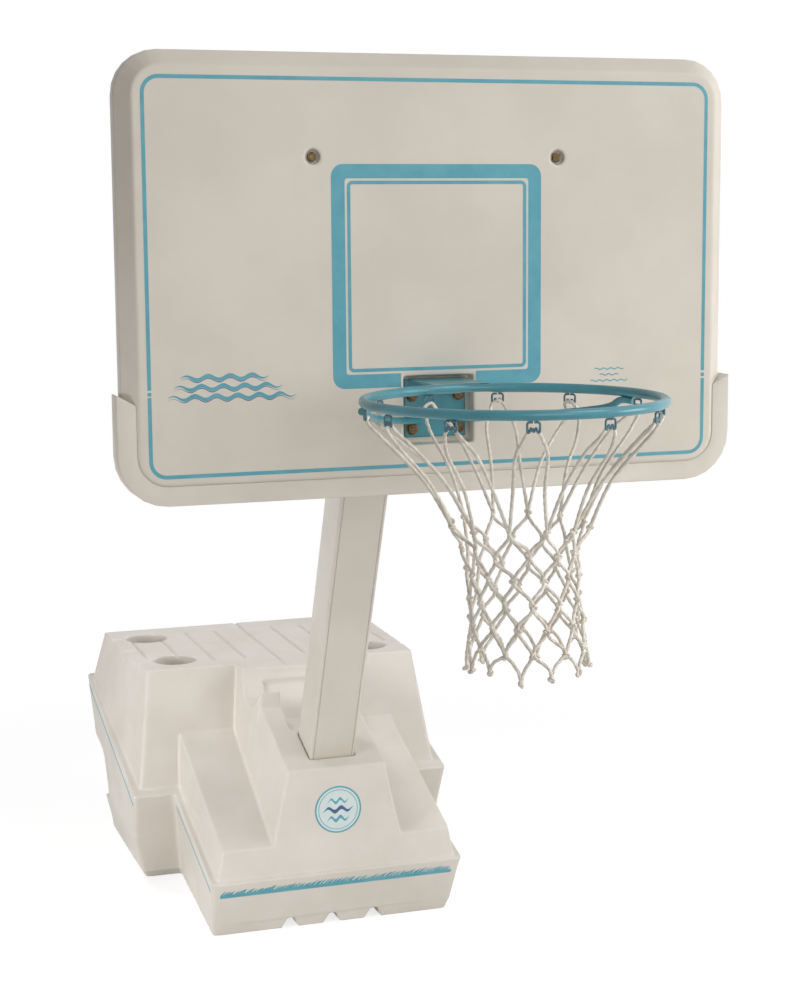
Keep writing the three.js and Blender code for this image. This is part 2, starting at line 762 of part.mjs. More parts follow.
function portCap({ x, z, share, faceY }) {
  const thread = portRadius * share - seatGap;
  const seat = gasketThickness * share + seatGap * 2;
  const flangeRadius = (portRadius + capRim) * share;
  const height = capFlange * share;
  const chamfer = capChamfer * share;
  const round = capRound * share;
  const profile = [
    [0, -capThread * share], [thread - chamfer, -capThread * share], [thread, chamfer - capThread * share],
    [thread, seat], [flangeRadius, seat], [flangeRadius, seat + height - round],
    [flangeRadius - round, seat + height], [0, seat + height],
  ].map(([r, y]) => new THREE.Vector2(r, y));
  const body = new THREE.LatheGeometry(profile, cupFacets).translate(x, faceY, z);
  const lugs = Array.from({ length: capLugs }, (_, i) => {
    const angle = (2 * Math.PI * i) / capLugs;
    const reach = flangeRadius + capLugRadius * share / 2;
    const lugX = x + reach * Math.cos(angle);
    const lugZ = z + reach * Math.sin(angle);
    const end = faceY + seat + height + overrun;
    const start = vector(lugX, faceY + seat - chamfer, lugZ);
    return rod(start, vector(lugX, end, lugZ), capLugRadius * share, lugFacets);
  });
  return cut(body, ...lugs);
}

function portGasket({ x, z, share, faceY }) {
  const inner = portRadius * share + seatGap;
  const outer = inner + gasketWidth * share;
  const low = seatGap;
  const high = seatGap + gasketThickness * share;
  const profile = [[inner, low], [outer, low], [outer, high], [inner, high], [inner, low]]
    .map(([r, y]) => new THREE.Vector2(r, y));
  return new THREE.LatheGeometry(profile, cupFacets).translate(x, faceY, z);
}

const hollows = (grow) => [
  poleSocket(grow), ballPocket(grow), fingerNotch(grow), ...cupHolders(grow),
  ...footNotches(grow), gripRecess(grow),
];

function baseTank() {
  const holes = Object.values(ports).map((port) => portHole(port, 0));
  const mass = join(tankMass(0), ...Object.values(ports).map(portBoss));
  const outside = cut(mass, ...hollows(0), ...topGrooves());
  const inside = largestPiece(cut(tankMass(tankWall), ...hollows(tankWall)));
  return cut(outside, inside, ...holes);
}

function waterBallast() {
  const inset = tankWall + waterGap;
  const keepOut = Object.values(ports).map((port) => portHole(port, waterGap));
  const reach = blockLipHalfWidth + overrun;
  const air = box(vector(-reach, lipFrontY, fillLevel), vector(reach, lipRearY, blockTopHeight));
  return largestPiece(cut(tankMass(inset), ...hollows(inset), ...keepOut, air));
}

// Pole
function roundedSquare(half, radius) {
  const reach = half - radius;
  const quarter = Math.PI / 2;
  const shape = new THREE.Shape();
  shape.absarc(reach, reach, radius, 0, quarter);
  shape.absarc(-reach, reach, radius, quarter, 2 * quarter);
  shape.absarc(-reach, -reach, radius, 2 * quarter, 3 * quarter);
  shape.absarc(reach, -reach, radius, 3 * quarter, 4 * quarter);
  return shape;
}

const alongPole = (geometry) => geometry
  .applyQuaternion(new THREE.Quaternion().setFromEuler(poleTurn))
  .translate(...poleFoot.toArray());
const headBoltPlaces = [headPlateLow + headBoltInset, headPlateHigh - headBoltInset]
  .map((along) => onPole(0, along));
const headBoltBores = () =>
  headBoltPlaces.map(({ y, z }) => crossRod(y, z, poleSize, headBoltRadius + seatGap, shankFacets));

function poleTube() {
  const settings = { depth: poleInsert + poleStand, bevelEnabled: false, curveSegments: 3 };
  const outer = new THREE.ExtrudeGeometry(roundedSquare(poleSize / 2, poleCornerRadius), settings);
  const inside = poleSize / 2 - poleWall;
  const low = vector(-inside, -inside, -overrun);
  const bore = box(low, vector(inside, inside, poleInsert + poleStand + overrun));
  const tube = cut(outer, bore).translate(0, 0, -poleInsert);
  return cut(alongPole(tube), ...headBoltBores());
}

function poleCap() {
  const settings = { depth: poleCapThickness, bevelEnabled: false, curveSegments: 3 };
  const lid = new THREE.ExtrudeGeometry(roundedSquare(poleSize / 2, poleCornerRadius), settings);
  const plug = poleSize / 2 - poleWall - seatGap;
  const skirt = box(vector(-plug, -plug, -poleCapSkirt), vector(plug, plug, poleCapThickness / 2));
  return alongPole(join(lid, skirt).translate(0, 0, poleStand + seatGap));
}

// Pole head, release lever and brake
const onQuadrant = (angle, radius) =>
  vector(0, hinge.y + radius * Math.cos(angle), hinge.z + radius * Math.sin(angle));
const shoeInner = quadrantRadius + liningThickness + seatGap * 2;
const shoeMiddle = onQuadrant(shoeAngle, shoeInner + shoeThickness);
const leverPivot = vector(0, shoeMiddle.y - pivotForward, shoeMiddle.z + pivotRise);
const capRearEdge = onPole(poleSize / 2, poleStand + poleCapThickness);
const leverKnee = vector(0, capRearEdge.y - leverKneeAhead, capRearEdge.z + leverAbovePole);
const leverEnd = vector(0, leverKnee.y + leverReach, leverKnee.z + leverRise);
const turningBore = ({ y, z }, pinRadius) => {
  const radius = (pinRadius + seatGap) / Math.cos(Math.PI / boreFacets);
  return crossRod(y, z, poleSize, radius, boreFacets);
};
const hingeBore = () => turningBore(hinge, hingePinRadius);
const pivotBore = () => turningBore(leverPivot, pivotPinRadius);

function headPlate(side) {
  const back = poleSize / 2 - headPlateInset;
  const corners = [onPole(-back, headPlateLow), onPole(back, headPlateLow), onPole(back, headPlateHigh)];
  const outline = bandOutline([
    ...corners.map(({ y, z }) => [y, z, headPlateInset / 2]),
    [hinge.y, hinge.z, noseRadius],
    [leverPivot.y, leverPivot.z, pivotLugRadius],
  ], discFacets);
  const plate = sidePlate(outline, headPlateThickness, side * headPlateX);
  return cut(plate, hingeBore(), pivotBore(), ...headBoltBores());
}

// A bolt along +X with a nut, through pieces that reach a half-width on both sides.
function crossBolt(place, radius, halfWidth) {
  const seat = halfWidth + seatGap;
  const length = seat * 2 + radius * nutHeightShare + threadPast + seatGap;
  const axis = vector(1, 0, 0);
  return {
    bolt: aim(hexBolt(radius, length), vector(-seat, place.y, place.z), axis),
    nut: aim(hexNut(radius), vector(seat, place.y, place.z), axis),
  };
}

// A piece of a ring round the hinge, between two radii.
function hingeArc(inner, outer, low, high, thickness) {
  const arc = (radius) => Array.from({ length: arcSteps + 1 }, (_, i) =>
    onQuadrant(low + ((high - low) * i) / arcSteps, radius));
  const outline = [...arc(outer), ...arc(inner).reverse()];
  return sidePlate(shapeOf(outline.map(({ y, z }) => [y, z])), thickness, 0);
}

function brakeQuadrant() {
  const footY = frameFrontY + mountPlateThickness + seatGap;
  const web = bandOutline([
    [hinge.y, hinge.z, hubRadius],
    [footY, hinge.z - footHeight / 2, 0],
    [footY, hinge.z + footHeight / 2, 0],
  ], discFacets);
  const sector = hingeArc(
    hubRadius / 2, quadrantRadius,
    shoeAngle - tiltRange - quadrantMargin, shoeAngle + quadrantMargin, quadrantThickness);
  return cut(join(sidePlate(web, quadrantThickness, 0), sector), hingeBore());
}

const liningInner = quadrantRadius + seatGap;
const brakeLining = () => hingeArc(
  liningInner, liningInner + liningThickness,
  shoeAngle - shoeHalfAngle, shoeAngle + shoeHalfAngle, leverThickness);

const leverBar = (radius, thickness) => sidePlate(bandOutline([
  [leverKnee.y, leverKnee.z, radius],
  [leverEnd.y, leverEnd.z, radius],
], discFacets), thickness, 0);

function releaseLever() {
  const arm = bandOutline([
    [shoeMiddle.y, shoeMiddle.z, shoeThickness],
    [leverPivot.y, leverPivot.z, leverHeadRadius],
  ], discFacets);
  const neck = bandOutline([
    [leverPivot.y, leverPivot.z, leverHeadRadius],
    [leverKnee.y, leverKnee.z, leverHalfWidth],
  ], discFacets);
  const plates = [arm, neck].map((shape) => sidePlate(shape, leverThickness, 0));
  const shoe = hingeArc(
    shoeInner, shoeInner + shoeThickness,
    shoeAngle - shoeHalfAngle, shoeAngle + shoeHalfAngle, leverThickness);
  const bar = leverBar(leverHalfWidth, leverThickness);
  return cut(join(...plates, bar, shoe), pivotBore());
}

function handleGrip() {
  const start = leverEnd.clone().lerp(leverKnee, gripLength / leverReach);
  const outline = bandOutline([
    [start.y, start.z, leverHalfWidth + gripWall],
    [leverEnd.y, leverEnd.z, leverHalfWidth + gripWall],
  ], discFacets);
  const sleeve = sidePlate(outline, leverThickness + gripWall * 2, 0);
  return cut(sleeve, leverBar(leverHalfWidth + seatGap, leverThickness + seatGap * 2));
}

// Twisting spring round the lever's pin, with two straight ends.
function releaseSpring() {
  const radius = (pivotPinRadius + seatGap) / Math.cos(Math.PI / springTurnSteps) + springWire;
  const startX = leverThickness / 2 + springWire + seatGap;
  const steps = springTurns * springTurnSteps;
  const coil = Array.from({ length: steps + 1 }, (_, i) => {
    const angle = (2 * Math.PI * i) / springTurnSteps;
    const x = startX + (springPitch * i) / springTurnSteps;
    return vector(x, leverPivot.y + radius * Math.cos(angle), leverPivot.z + radius * Math.sin(angle));
  });
  const first = coil[0].clone().add(vector(0, 0, -springLeg));
  const last = coil.at(-1).clone().add(vector(0, 0, springLeg));
  const points = [first, ...coil, last];
  const gap = springPitch - springWire * 2;
  console.log('release_spring: least gap between its turns', gap.toFixed(2), 'mm');
  return bentRod(points, springWire, cordFacets, points.length + springTurnSteps);
}

// Backboard
function boardRing(halfWidth, bottom, top, radius, y) {
  const quarter = Math.PI / 2;
  const centres = [
    [halfWidth - radius, bottom + radius, -quarter],
    [halfWidth - radius, top - radius, 0],
    [radius - halfWidth, top - radius, quarter],
    [radius - halfWidth, bottom + radius, 2 * quarter],
  ];
  return centres.flatMap(([x, z, start]) => Array.from({ length: boardArcSteps + 1 }, (_, i) => {
    const angle = start + (quarter * i) / boardArcSteps;
    return vector(x + radius * Math.cos(angle), y, z + radius * Math.sin(angle));
  }));
}

// The board's outside, grown or shrunk; its rear plane can be moved back to cut with.
function boardBlock(grow, rearY) {
  const ring = (inset, y) => boardRing(
    boardHalfWidth + grow - inset, boardBottomZ - grow + inset, boardTopZ + grow - inset,
    boardCornerRadius + grow - inset, y);
  const bevelY = boardFaceY + bevelDepth;
  return loft([ring(0, rearY), ring(0, bevelY), ring(bevelWidth, boardFaceY - grow)], fromFront);
}

const mirrored = (places) => places.flatMap((place) => [-place, place]);
const alongDepth = (x, z, radius, frontY, rearY, facets) =>
  rod(vector(x, frontY, z), vector(x, rearY, z), radius, facets);
const bracketBoltZs = [rimHeight - bracketBoltLow, rimHeight - bracketBoltHigh];
const bracketBores = () => mirrored([bracketBoltX]).flatMap((x) => bracketBoltZs.map((z) =>
  alongDepth(x, z, bracketBoltRadius + seatGap, boardFaceY, hinge.y, shankFacets)));
const boardBores = () => mirrored([mountBoltX]).map((x) =>
  alongDepth(x, mountBoltZ, headBoltRadius + seatGap, boardFaceY - overrun, hinge.y, shankFacets));

function boardInsides() {
  const ribRearY = boardRearY - ribSetBack;
  const upright = (x) => box(
    vector(x - ribThickness / 2, boardFaceY, boardBottomZ),
    vector(x + ribThickness / 2, ribRearY, boardTopZ));
  const level = (rise) => box(
    vector(-boardHalfWidth, boardFaceY, boardBottomZ + rise),
    vector(boardHalfWidth, ribRearY, boardBottomZ + rise + ribThickness));
  const bosses = mirrored([mountBoltX]).map((x) =>
    alongDepth(x, mountBoltZ, bossRadius, boardFaceY, boardRearY + overrun, discFacets));
  const centre = box(
    vector(-recessHalfWidth - recessBorder, boardFaceY, recessTopZ - recessHeight - recessBorder),
    vector(recessHalfWidth + recessBorder, boardRearY + overrun, recessTopZ + recessBorder));
  return [...mirrored(ribX).map(upright), ...ribHeight.map(level), ...bosses, centre];
}

function backboard() {
  const hollow = cut(boardBlock(-boardWall, boardRearY + overrun), ...boardInsides());
  const recess = box(
    vector(-recessHalfWidth, boardFaceY - overrun, recessTopZ - recessHeight),
    vector(recessHalfWidth, recessFloorY, recessTopZ));
  const pockets = mirrored([mountBoltX]).map((x) => alongDepth(
    x, mountBoltZ, bossPocketRadius, boardFaceY - overrun, boardFaceY + bossPocketDepth, discFacets));
  const trim = box(
    vector(-boardHalfWidth, boardRearY, boardBottomZ),
    vector(boardHalfWidth, boardRearY + overrun * 2, boardTopZ));
  return cut(boardBlock(0, boardRearY), hollow, recess, ...pockets, ...bracketBores(), ...boardBores(), trim);
}

function edgeBumper() {
  const outer = bumperWidth + boardHalfWidth;
  const bottom = boardBottomZ - bumperWidth;
  const top = rimHeight + bumperAboveRim;
  const ring = (y) => boardRing(outer, bottom, boardTopZ, boardCornerRadius + bumperWidth, y);
  const block = loft([ring(boardRearY - bumperRearSetBack), ring(boardFaceY + bumperSetBack)], fromFront);
  const inner = boardHalfWidth - bevelWidth;
  const above = shapeOf([
    [-outer - overrun, top], [-inner, top - bumperFacet], [inner, top - bumperFacet],
    [outer + overrun, top], [outer + overrun, boardTopZ + overrun], [-outer - overrun, boardTopZ + overrun],
  ]);
  const upper = frontPlate(above, boardRearY, boardDepth + overrun);
  return cut(block, boardBlock(seatGap, boardRearY), upper);
}

// Frame behind the board
function squareTube(low, high, axis) {
  const inset = vector(tubeWall, tubeWall, tubeWall);
  inset[axis] = -overrun;
  return cut(box(low, high), box(low.clone().add(inset), high.clone().sub(inset)));
}

const railLowZ = mountBoltZ - tubeSize / 2;
const frameRearY = frameFrontY + tubeSize;
const plateRearY = frameFrontY + mountPlateThickness;

function frameUpright(side) {
  const x = side * uprightX;
  return squareTube(
    vector(x - tubeSize / 2, frameFrontY, rimHeight - uprightBelowRim),
    vector(x + tubeSize / 2, frameRearY, railLowZ - seatGap), 'z');
}

function frameTopRail() {
  const tube = squareTube(
    vector(-topRailHalfLength, frameFrontY, railLowZ),
    vector(topRailHalfLength, frameRearY, railLowZ + tubeSize), 'x');
  return cut(tube, ...boardBores());
}

function frameMountPlate() {
  const half = uprightX - tubeSize / 2 - seatGap;
  const low = rimHeight - mountPlateBelowRim;
  const plate = box(vector(-half, frameFrontY, low), vector(half, plateRearY, low + mountPlateHeight));
  return cut(plate, ...bracketBores());
}

function frameEar(side) {
  const footY = plateRearY + seatGap;
  const outline = bandOutline([
    [hinge.y, hinge.z, noseRadius],
    [footY, hinge.z - earHeight / 2 + earCornerRise, 0],
    [footY, hinge.z + earHeight / 2, 0],
  ], discFacets);
  const plate = sidePlate(outline, earThickness, side * earX);
  const inner = side * (earX - earThickness / 2 - washerStand);
  const washer = rod(
    vector(inner, hinge.y, hinge.z), vector(side * earX, hinge.y, hinge.z), earWasherRadius, discFacets);
  return cut(join(plate, washer), hingeBore());
}

// A bolt along +Y with a nut, between two planes that it clamps.
function depthBolt(x, z, radius, seatY, nutY) {
  const length = nutY - seatY + seatGap * 2 + radius * nutHeightShare + threadPast;
  const axis = vector(0, 1, 0);
  return {
    bolt: aim(hexBolt(radius, length), vector(x, seatY - seatGap, z), axis),
    nut: aim(hexNut(radius), vector(x, nutY + seatGap, z), axis),
  };
}
const boardBolt = (x) =>
  depthBolt(x, mountBoltZ, headBoltRadius, boardFaceY + bossPocketDepth, frameRearY);
const bracketBolt = (x, z) => depthBolt(x, z, bracketBoltRadius, bracketFrontY, plateRearY);

// Ring, bracket, brace and hooks
const ringPlace = (angle, radius, z) =>
  vector(radius * Math.sin(angle), rimCentreY - radius * Math.cos(angle), z);
const ringBar = (grow) =>
  new THREE.TorusGeometry(rimRadius, rimRod / 2 + grow, rodFacets, ringFacets)
    .translate(0, rimCentreY, rimHeight);

function rimBracket() {
  const plate = box(
    vector(-bracketHalfWidth, bracketFrontY, flangeTopZ - bracketHeight),
    vector(bracketHalfWidth, bracketRearY, flangeTopZ));
  const flange = box(
    vector(-flangeHalfWidth, rimCentreY, flangeTopZ - bracketThickness),
    vector(flangeHalfWidth, bracketRearY, flangeTopZ));
  const inside = rod(
    vector(0, rimCentreY, rimHeight), vector(0, rimCentreY, flangeTopZ + overrun), rimRadius, ringFacets);
  return cut(join(plate, flange), inside, ringBar(seatGap), ...bracketBores());
}

function rimBrace(side) {
  const radius = braceRod / 2;
  const underRing = rimHeight - rimRod / 2 - seatGap - radius;
  const start = ringPlace(side * braceAngle, rimRadius, underRing);
  const foot = vector(side * braceFootX, bracketFrontY, rimHeight - braceFootBelowRim);
  const along = (share, z) => {
    const point = start.clone().lerp(foot, share);
    return vector(point.x, point.y, z);
  };
  const inset = braceInset / start.distanceTo(foot);
  const [past, under, lowered] = braceBendShares.map((share) => inset * share);
  const low = underRing - braceDrop;
  const points = [
    along(past, underRing), along(under, underRing), along(lowered, low),
    start.clone().setZ(low).lerp(foot, braceMiddleShare),
    foot.clone().add(along(1, foot.z).sub(start).setLength(radius)),
  ];
  const reach = bracketHalfWidth;
  const wallY = bracketFrontY - seatGap;
  const wall = box(vector(-reach, wallY, foot.z - reach), vector(reach, boardRearY, foot.z + reach));
  return cut(bentRod(points, radius, rodFacets, braceSteps), wall);
}

function hookAngle(index) {
  const angle = (2 * Math.PI * (index + 1 / 2)) / hookCount;
  const signed = angle > Math.PI ? angle - 2 * Math.PI : angle;
  const beside = Math.abs(Math.abs(signed) - braceAngle) < hookShift;
  return beside ? signed - Math.sign(signed) * hookShift : signed;
}

function netHook(index) {
  const top = rimHeight - rimRod / 2 - seatGap - hookWire / 2;
  const low = top - hookHeight + hookWire;
  const half = hookHalfWidth - hookWire / 2;
  const heightAt = (share) => low + (top - low) * share;
  const rightSide = hookOutlineShares.map(([across, up]) => [half * across, heightAt(up)]);
  const leftSide = rightSide.map(([side, z]) => [-side, z]).reverse();
  const outline = [...rightSide, [0, heightAt(hookDipShare)], ...leftSide];
  const angle = hookAngle(index);
  const points = outline.map(([side, z]) => {
    const place = ringPlace(angle, rimRadius, z);
    return place.add(vector(side * Math.cos(angle), side * Math.sin(angle), 0));
  });
  return bentRod(points, hookWire / 2, hookFacets, hookSteps);
}

// Net: a loop over each hook, then rows of diamonds that hang a little to one side
const netPlace = (angle, drop, radius, sway) =>
  ringPlace(angle, radius, rimHeight - drop).add(vector(sway, 0, 0));
const rowAngle = (row, index) =>
  (2 * Math.PI * (index + (row % 2) / 2)) / hookCount;
const rowPlace = (row, index) =>
  netPlace(rowAngle(row, index), netRowDrops[row], netRowRadii[row], netRowSways[row]);

// One cord is drawn from ring to ring; each ring is five corners round the cord's line.
function cordRing(place, direction) {
  const outward = vector(place.x, place.y - rimCentreY, 0);
  const u = outward.addScaledVector(direction, -outward.dot(direction)).normalize();
  const v = direction.clone().cross(u);
  return Array.from({ length: cordFacets }, (_, i) => {
    const angle = (2 * Math.PI * i) / cordFacets;
    return place.clone()
      .addScaledVector(u, cordRadius * Math.cos(angle))
      .addScaledVector(v, cordRadius * Math.sin(angle));
  });
}

function cordFaces(rings) {
  const faces = [];
  for (let level = 0; level + 1 < rings.length; level += 1) {
    const [low, high] = [rings[level], rings[level + 1]];
    for (let i = 0; i < cordFacets; i += 1) {
      const next = (i + 1) % cordFacets;
      faces.push([low[i], low[next], high[next]], [low[i], high[next], high[i]]);
    }
  }
  return faces;
}

// A knot is the hull of its cords' end rings and a small ball, left open inside the cords.
function knotFaces(place, rings) {
  const owners = new Map(rings.flatMap((ring, i) => ring.map((point) => [point, i])));
  const ball = ['x', 'y', 'z'].flatMap((axis) => [-knotRadius, knotRadius].map((shift) => {
    const point = place.clone();
    point[axis] += shift;
    return point;
  }));
  const hull = new ConvexHull().setFromPoints([...rings.flat(), ...ball]);
  const corners = ({ edge }) => [edge.head().point, edge.next.head().point, edge.prev.head().point];
  const isOpen = (face) => {
    const [a, b, c] = face.map((point) => owners.get(point));
    return a !== undefined && a === b && b === c;
  };
  return hull.faces.map(corners).filter((face) => !isOpen(face));
}

// The bends of a loop from its hook down to a knot, without either end.
function loopBends(angle, knot) {
  const spread = Math.atan2(Math.sin(knot - angle), Math.cos(knot - angle));
  const overBrace = Math.abs(Math.abs(angle) - braceLoopAngle) < hookShift;
  const drops = overBrace ? [...braceLoopDrops, netBellDrops[1]] : netBellDrops;
  const radii = overBrace ? [...braceLoopRadii, netBellRadii[1]] : netBellRadii;
  const fans = overBrace ? [0, ...loopFanShares] : loopFanShares;
  return drops.map((drop, i) => {
    const sway = THREE.MathUtils.mapLinear(drop, loopDrop, netRowDrops[0], 0, netRowSways[0]);
    return netPlace(angle + spread * fans[i], drop, radii[i], sway);
  });
}

// Every cord as a line of places from one knot to another.
function netLines() {
  const lines = [];
  const cordFlat = cordRadius * Math.cos(Math.PI / cordFacets);
  const apexRadius = rimRadius + hookWire / 2 + seatGap + cordFlat;
  const apexTurn = apexHalfWidth / apexRadius;
  for (let i = 0; i < hookCount; i += 1) {
    const angle = hookAngle(i);
    const before = loopBends(angle, rowAngle(0, i)).reverse();
    const after = loopBends(angle, rowAngle(0, i + 1));
    const apex = [-1, 0, 1].map((turn) =>
      netPlace(angle + turn * apexTurn, loopDrop + Math.abs(turn) * cordRadius, apexRadius, 0));
    const next = (i + 1) % hookCount;
    lines.push({ from: [0, i], to: [0, next], bends: [...before, ...apex, ...after] });
    netRowDrops.slice(1).forEach((_, row) => {
      for (const step of [-1, 0]) {
        const below = (i + step + (row % 2) + hookCount) % hookCount;
        lines.push({ from: [row, i], to: [row + 1, below], bends: [] });
      }
    });
  }
  return lines;
}

function net() {
  const ends = new Map();
  const endAt = (key, line, far) => {
    const list = ends.get(key.join()) ?? { place: rowPlace(...key), cords: [] };
    const points = [rowPlace(...line.from), ...line.bends, rowPlace(...line.to)];
    if (far) points.reverse();
    list.cords.push({ line, far, away: points[1].clone().sub(points[0]).normalize() });
    ends.set(key.join(), list);
  };
  const lines = netLines();
  for (const line of lines) {
    endAt(line.from, line, false);
    endAt(line.to, line, true);
  }
  const faces = [];
  for (const { place, cords } of ends.values()) {
    const angles = cords.flatMap((a, i) => cords.slice(i + 1).map((b) => a.away.angleTo(b.away)));
    const apart = cordRadius / Math.tan(Math.min(...angles) / 2);
    const reach = Math.max(knotReach, apart * knotReachShare);
    const rings = cords.map(({ line, far, away }) => {
      const start = place.clone().addScaledVector(away, reach);
      const ring = cordRing(start, far ? away.clone().negate() : away);
      line[far ? 'last' : 'first'] = ring;
      return ring;
    });
    faces.push(...knotFaces(place, rings));
  }
  for (const line of lines) {
    const points = [rowPlace(...line.from), ...line.bends, rowPlace(...line.to)];
    const middle = line.bends.map((place, i) => {
      const into = place.clone().sub(points[i]).normalize();
      const out = points[i + 2].clone().sub(place).normalize();
      return cordRing(place, into.add(out).normalize());
    });
    faces.push(...cordFaces([line.first, ...middle, line.last]));
  }
  const geometry = new THREE.BufferGeometry();
  const numbers = faces.flat().flatMap((point) => point.toArray());
  geometry.setAttribute('position', new THREE.Float32BufferAttribute(numbers, 3));
  return geometry;
}

// Assembly
const hoop = new THREE.Group();
hoop.name = 'poolside_basketball_hoop';

function add(name, geometry, material) {
  const solid = toSolid(geometry);
  const mesh = new THREE.Mesh(toGeometry(solid), material.clone());
  mesh.name = name;
  hoop.add(mesh);
}

const sides = { left: -1, right: 1 };

add('base_tank', baseTank(), finishes.tank);
add('water_ballast', waterBallast(), finishes.water);
add('fill_cap', portCap(ports.filler), finishes.blue);
add('fill_cap_seal', portGasket(ports.filler), finishes.black);
add('drain_plug', portCap(ports.drain), finishes.blue);
add('drain_plug_seal', portGasket(ports.drain), finishes.black);
add('pole', poleTube(), finishes.pole);
add('pole_cap', poleCap(), finishes.black);

for (const [name, side] of Object.entries(sides)) {
  add(`head_plate_${name}`, headPlate(side), finishes.blue);
}
headBoltPlaces.forEach((place, i) => {
  const { bolt, nut } = crossBolt(place, headBoltRadius, headOuterX);
  add(`head_bolt_${i + 1}`, bolt, finishes.zinc);
  add(`head_nut_${i + 1}`, nut, finishes.zinc);
});
const hingeBolt = crossBolt(hinge, hingePinRadius, earX + earThickness / 2);
add('hinge_pin', hingeBolt.bolt, finishes.zinc);
add('hinge_nut', hingeBolt.nut, finishes.zinc);
const pivotBolt = crossBolt(leverPivot, pivotPinRadius, headOuterX);
add('release_pin', pivotBolt.bolt, finishes.zinc);
add('release_pin_nut', pivotBolt.nut, finishes.zinc);

add('release_lever', releaseLever(), finishes.blue);
add('handle_grip', handleGrip(), finishes.black);
add('release_spring', releaseSpring(), finishes.zinc);
add('brake_quadrant', brakeQuadrant(), finishes.zinc);
add('brake_lining', brakeLining(), finishes.black);

add('backboard', backboard(), finishes.board);
add('edge_bumper', edgeBumper(), finishes.bumper);
for (const [name, side] of Object.entries(sides)) {
  add(`frame_upright_${name}`, frameUpright(side), finishes.blue);
  add(`frame_ear_${name}`, frameEar(side), finishes.blue);
  const { bolt, nut } = boardBolt(side * mountBoltX);
  add(`board_bolt_${name}`, bolt, finishes.zinc);
  add(`board_nut_${name}`, nut, finishes.zinc);
}
add('frame_top_rail', frameTopRail(), finishes.blue);
add('frame_mount_plate', frameMountPlate(), finishes.blue);

add('rim_bracket', rimBracket(), finishes.blue);
for (const [name, side] of Object.entries(sides)) {
  ['low', 'high'].forEach((level, i) => {
    const { bolt, nut } = bracketBolt(side * bracketBoltX, bracketBoltZs[i]);
    add(`bracket_bolt_${name}_${level}`, bolt, finishes.brassy);
    add(`bracket_nut_${name}_${level}`, nut, finishes.brassy);
  });
  add(`rim_brace_${name}`, rimBrace(side), finishes.blue);
}
add('rim_ring', ringBar(0), finishes.blue);
for (let i = 0; i < hookCount; i += 1) add(`net_hook_${i + 1}`, netHook(i), finishes.blue);
add('net', net(), finishes.cord);

export default hoop;
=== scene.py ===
"""Poolside basketball hoop: the visual model, dressed over the CAD frame."""

import logging
import math
import random
from dataclasses import dataclass, field
from enum import Enum
from typing import Iterable, Sequence

import bmesh
import bpy
from mathutils import Matrix, Vector
from mathutils.bvhtree import BVHTree


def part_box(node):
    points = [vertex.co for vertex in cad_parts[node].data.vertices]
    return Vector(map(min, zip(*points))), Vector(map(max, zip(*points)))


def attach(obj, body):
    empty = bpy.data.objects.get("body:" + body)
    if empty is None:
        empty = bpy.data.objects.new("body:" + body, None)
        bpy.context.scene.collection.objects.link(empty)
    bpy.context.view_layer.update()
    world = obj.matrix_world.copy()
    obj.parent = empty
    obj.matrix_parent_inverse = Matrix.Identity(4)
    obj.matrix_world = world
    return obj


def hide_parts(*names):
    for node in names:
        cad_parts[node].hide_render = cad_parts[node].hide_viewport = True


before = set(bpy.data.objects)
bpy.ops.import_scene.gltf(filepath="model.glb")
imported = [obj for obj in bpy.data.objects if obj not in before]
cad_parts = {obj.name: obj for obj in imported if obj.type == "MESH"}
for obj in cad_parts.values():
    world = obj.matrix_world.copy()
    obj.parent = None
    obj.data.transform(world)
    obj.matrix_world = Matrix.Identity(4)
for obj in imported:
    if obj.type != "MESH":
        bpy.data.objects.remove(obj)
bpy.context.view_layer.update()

logging.basicConfig(level=logging.INFO, format="%(name)s: %(message)s")
LOG = logging.getLogger("poolside_hoop")
MM = 0.001
WELD = 0.00002  # CAD corners nearer than this are one corner
REARWARD = Vector((0, 1, 0))
SIDES = ("left", "right")
LEVELS = ("low", "high")

Pair = tuple[float, float]
Triple = tuple[float, float, float]
Thing = bpy.types.Object
Tree = bpy.types.NodeTree
Feed = bpy.types.NodeSocket | bpy.types.Node  # a node stands for its first output
Skin = bmesh.types.BMesh


# Section: finishes


def linear(hex_colour: str) -> tuple[float, float, float, float]:
    """Turn an sRGB hex colour to the linear one that a shader takes.

    Args:
        hex_colour: The colour as "#rrggbb".

    Returns:
        Linear red, green and blue, and an alpha of 1.
    """
    parts = [int(hex_colour[i : i + 2], 16) / 255 for i in (1, 3, 5)]
    red, green, blue = (p / 12.92 if p <= 0.04045 else ((p + 0.055) / 1.055) ** 2.4 for p in parts)
    return (red, green, blue, 1.0)


def add_node(tree: Tree, kind: str, inputs: dict | None = None, **settings: object) -> bpy.types.Node:
    """Add a node with its settings, values and links.

    Args:
        tree: The material's or the geometry's tree.
        kind: The node's type.
        inputs: Sockets by name or number, each with a value or with what feeds it.
        settings: The node's own settings.

    Returns:
        The new node.
    """
    node = tree.nodes.new(kind)
    for name, value in settings.items():
        setattr(node, name, value)
    for name, value in (inputs or {}).items():
        if isinstance(value, bpy.types.Node):
            value = value.outputs[0]
        if isinstance(value, bpy.types.NodeSocket):
            tree.links.new(value, node.inputs[name])
        else:
            node.inputs[name].default_value = value
    return node


def blank_tree(owner: bpy.types.ID) -> Tree:
    """Give a material or a world an empty tree of nodes.

    Args:
        owner: The material or the world.

    Returns:
        The tree.
    """
    owner.use_nodes = True
    owner.node_tree.nodes.clear()
    return owner.node_tree


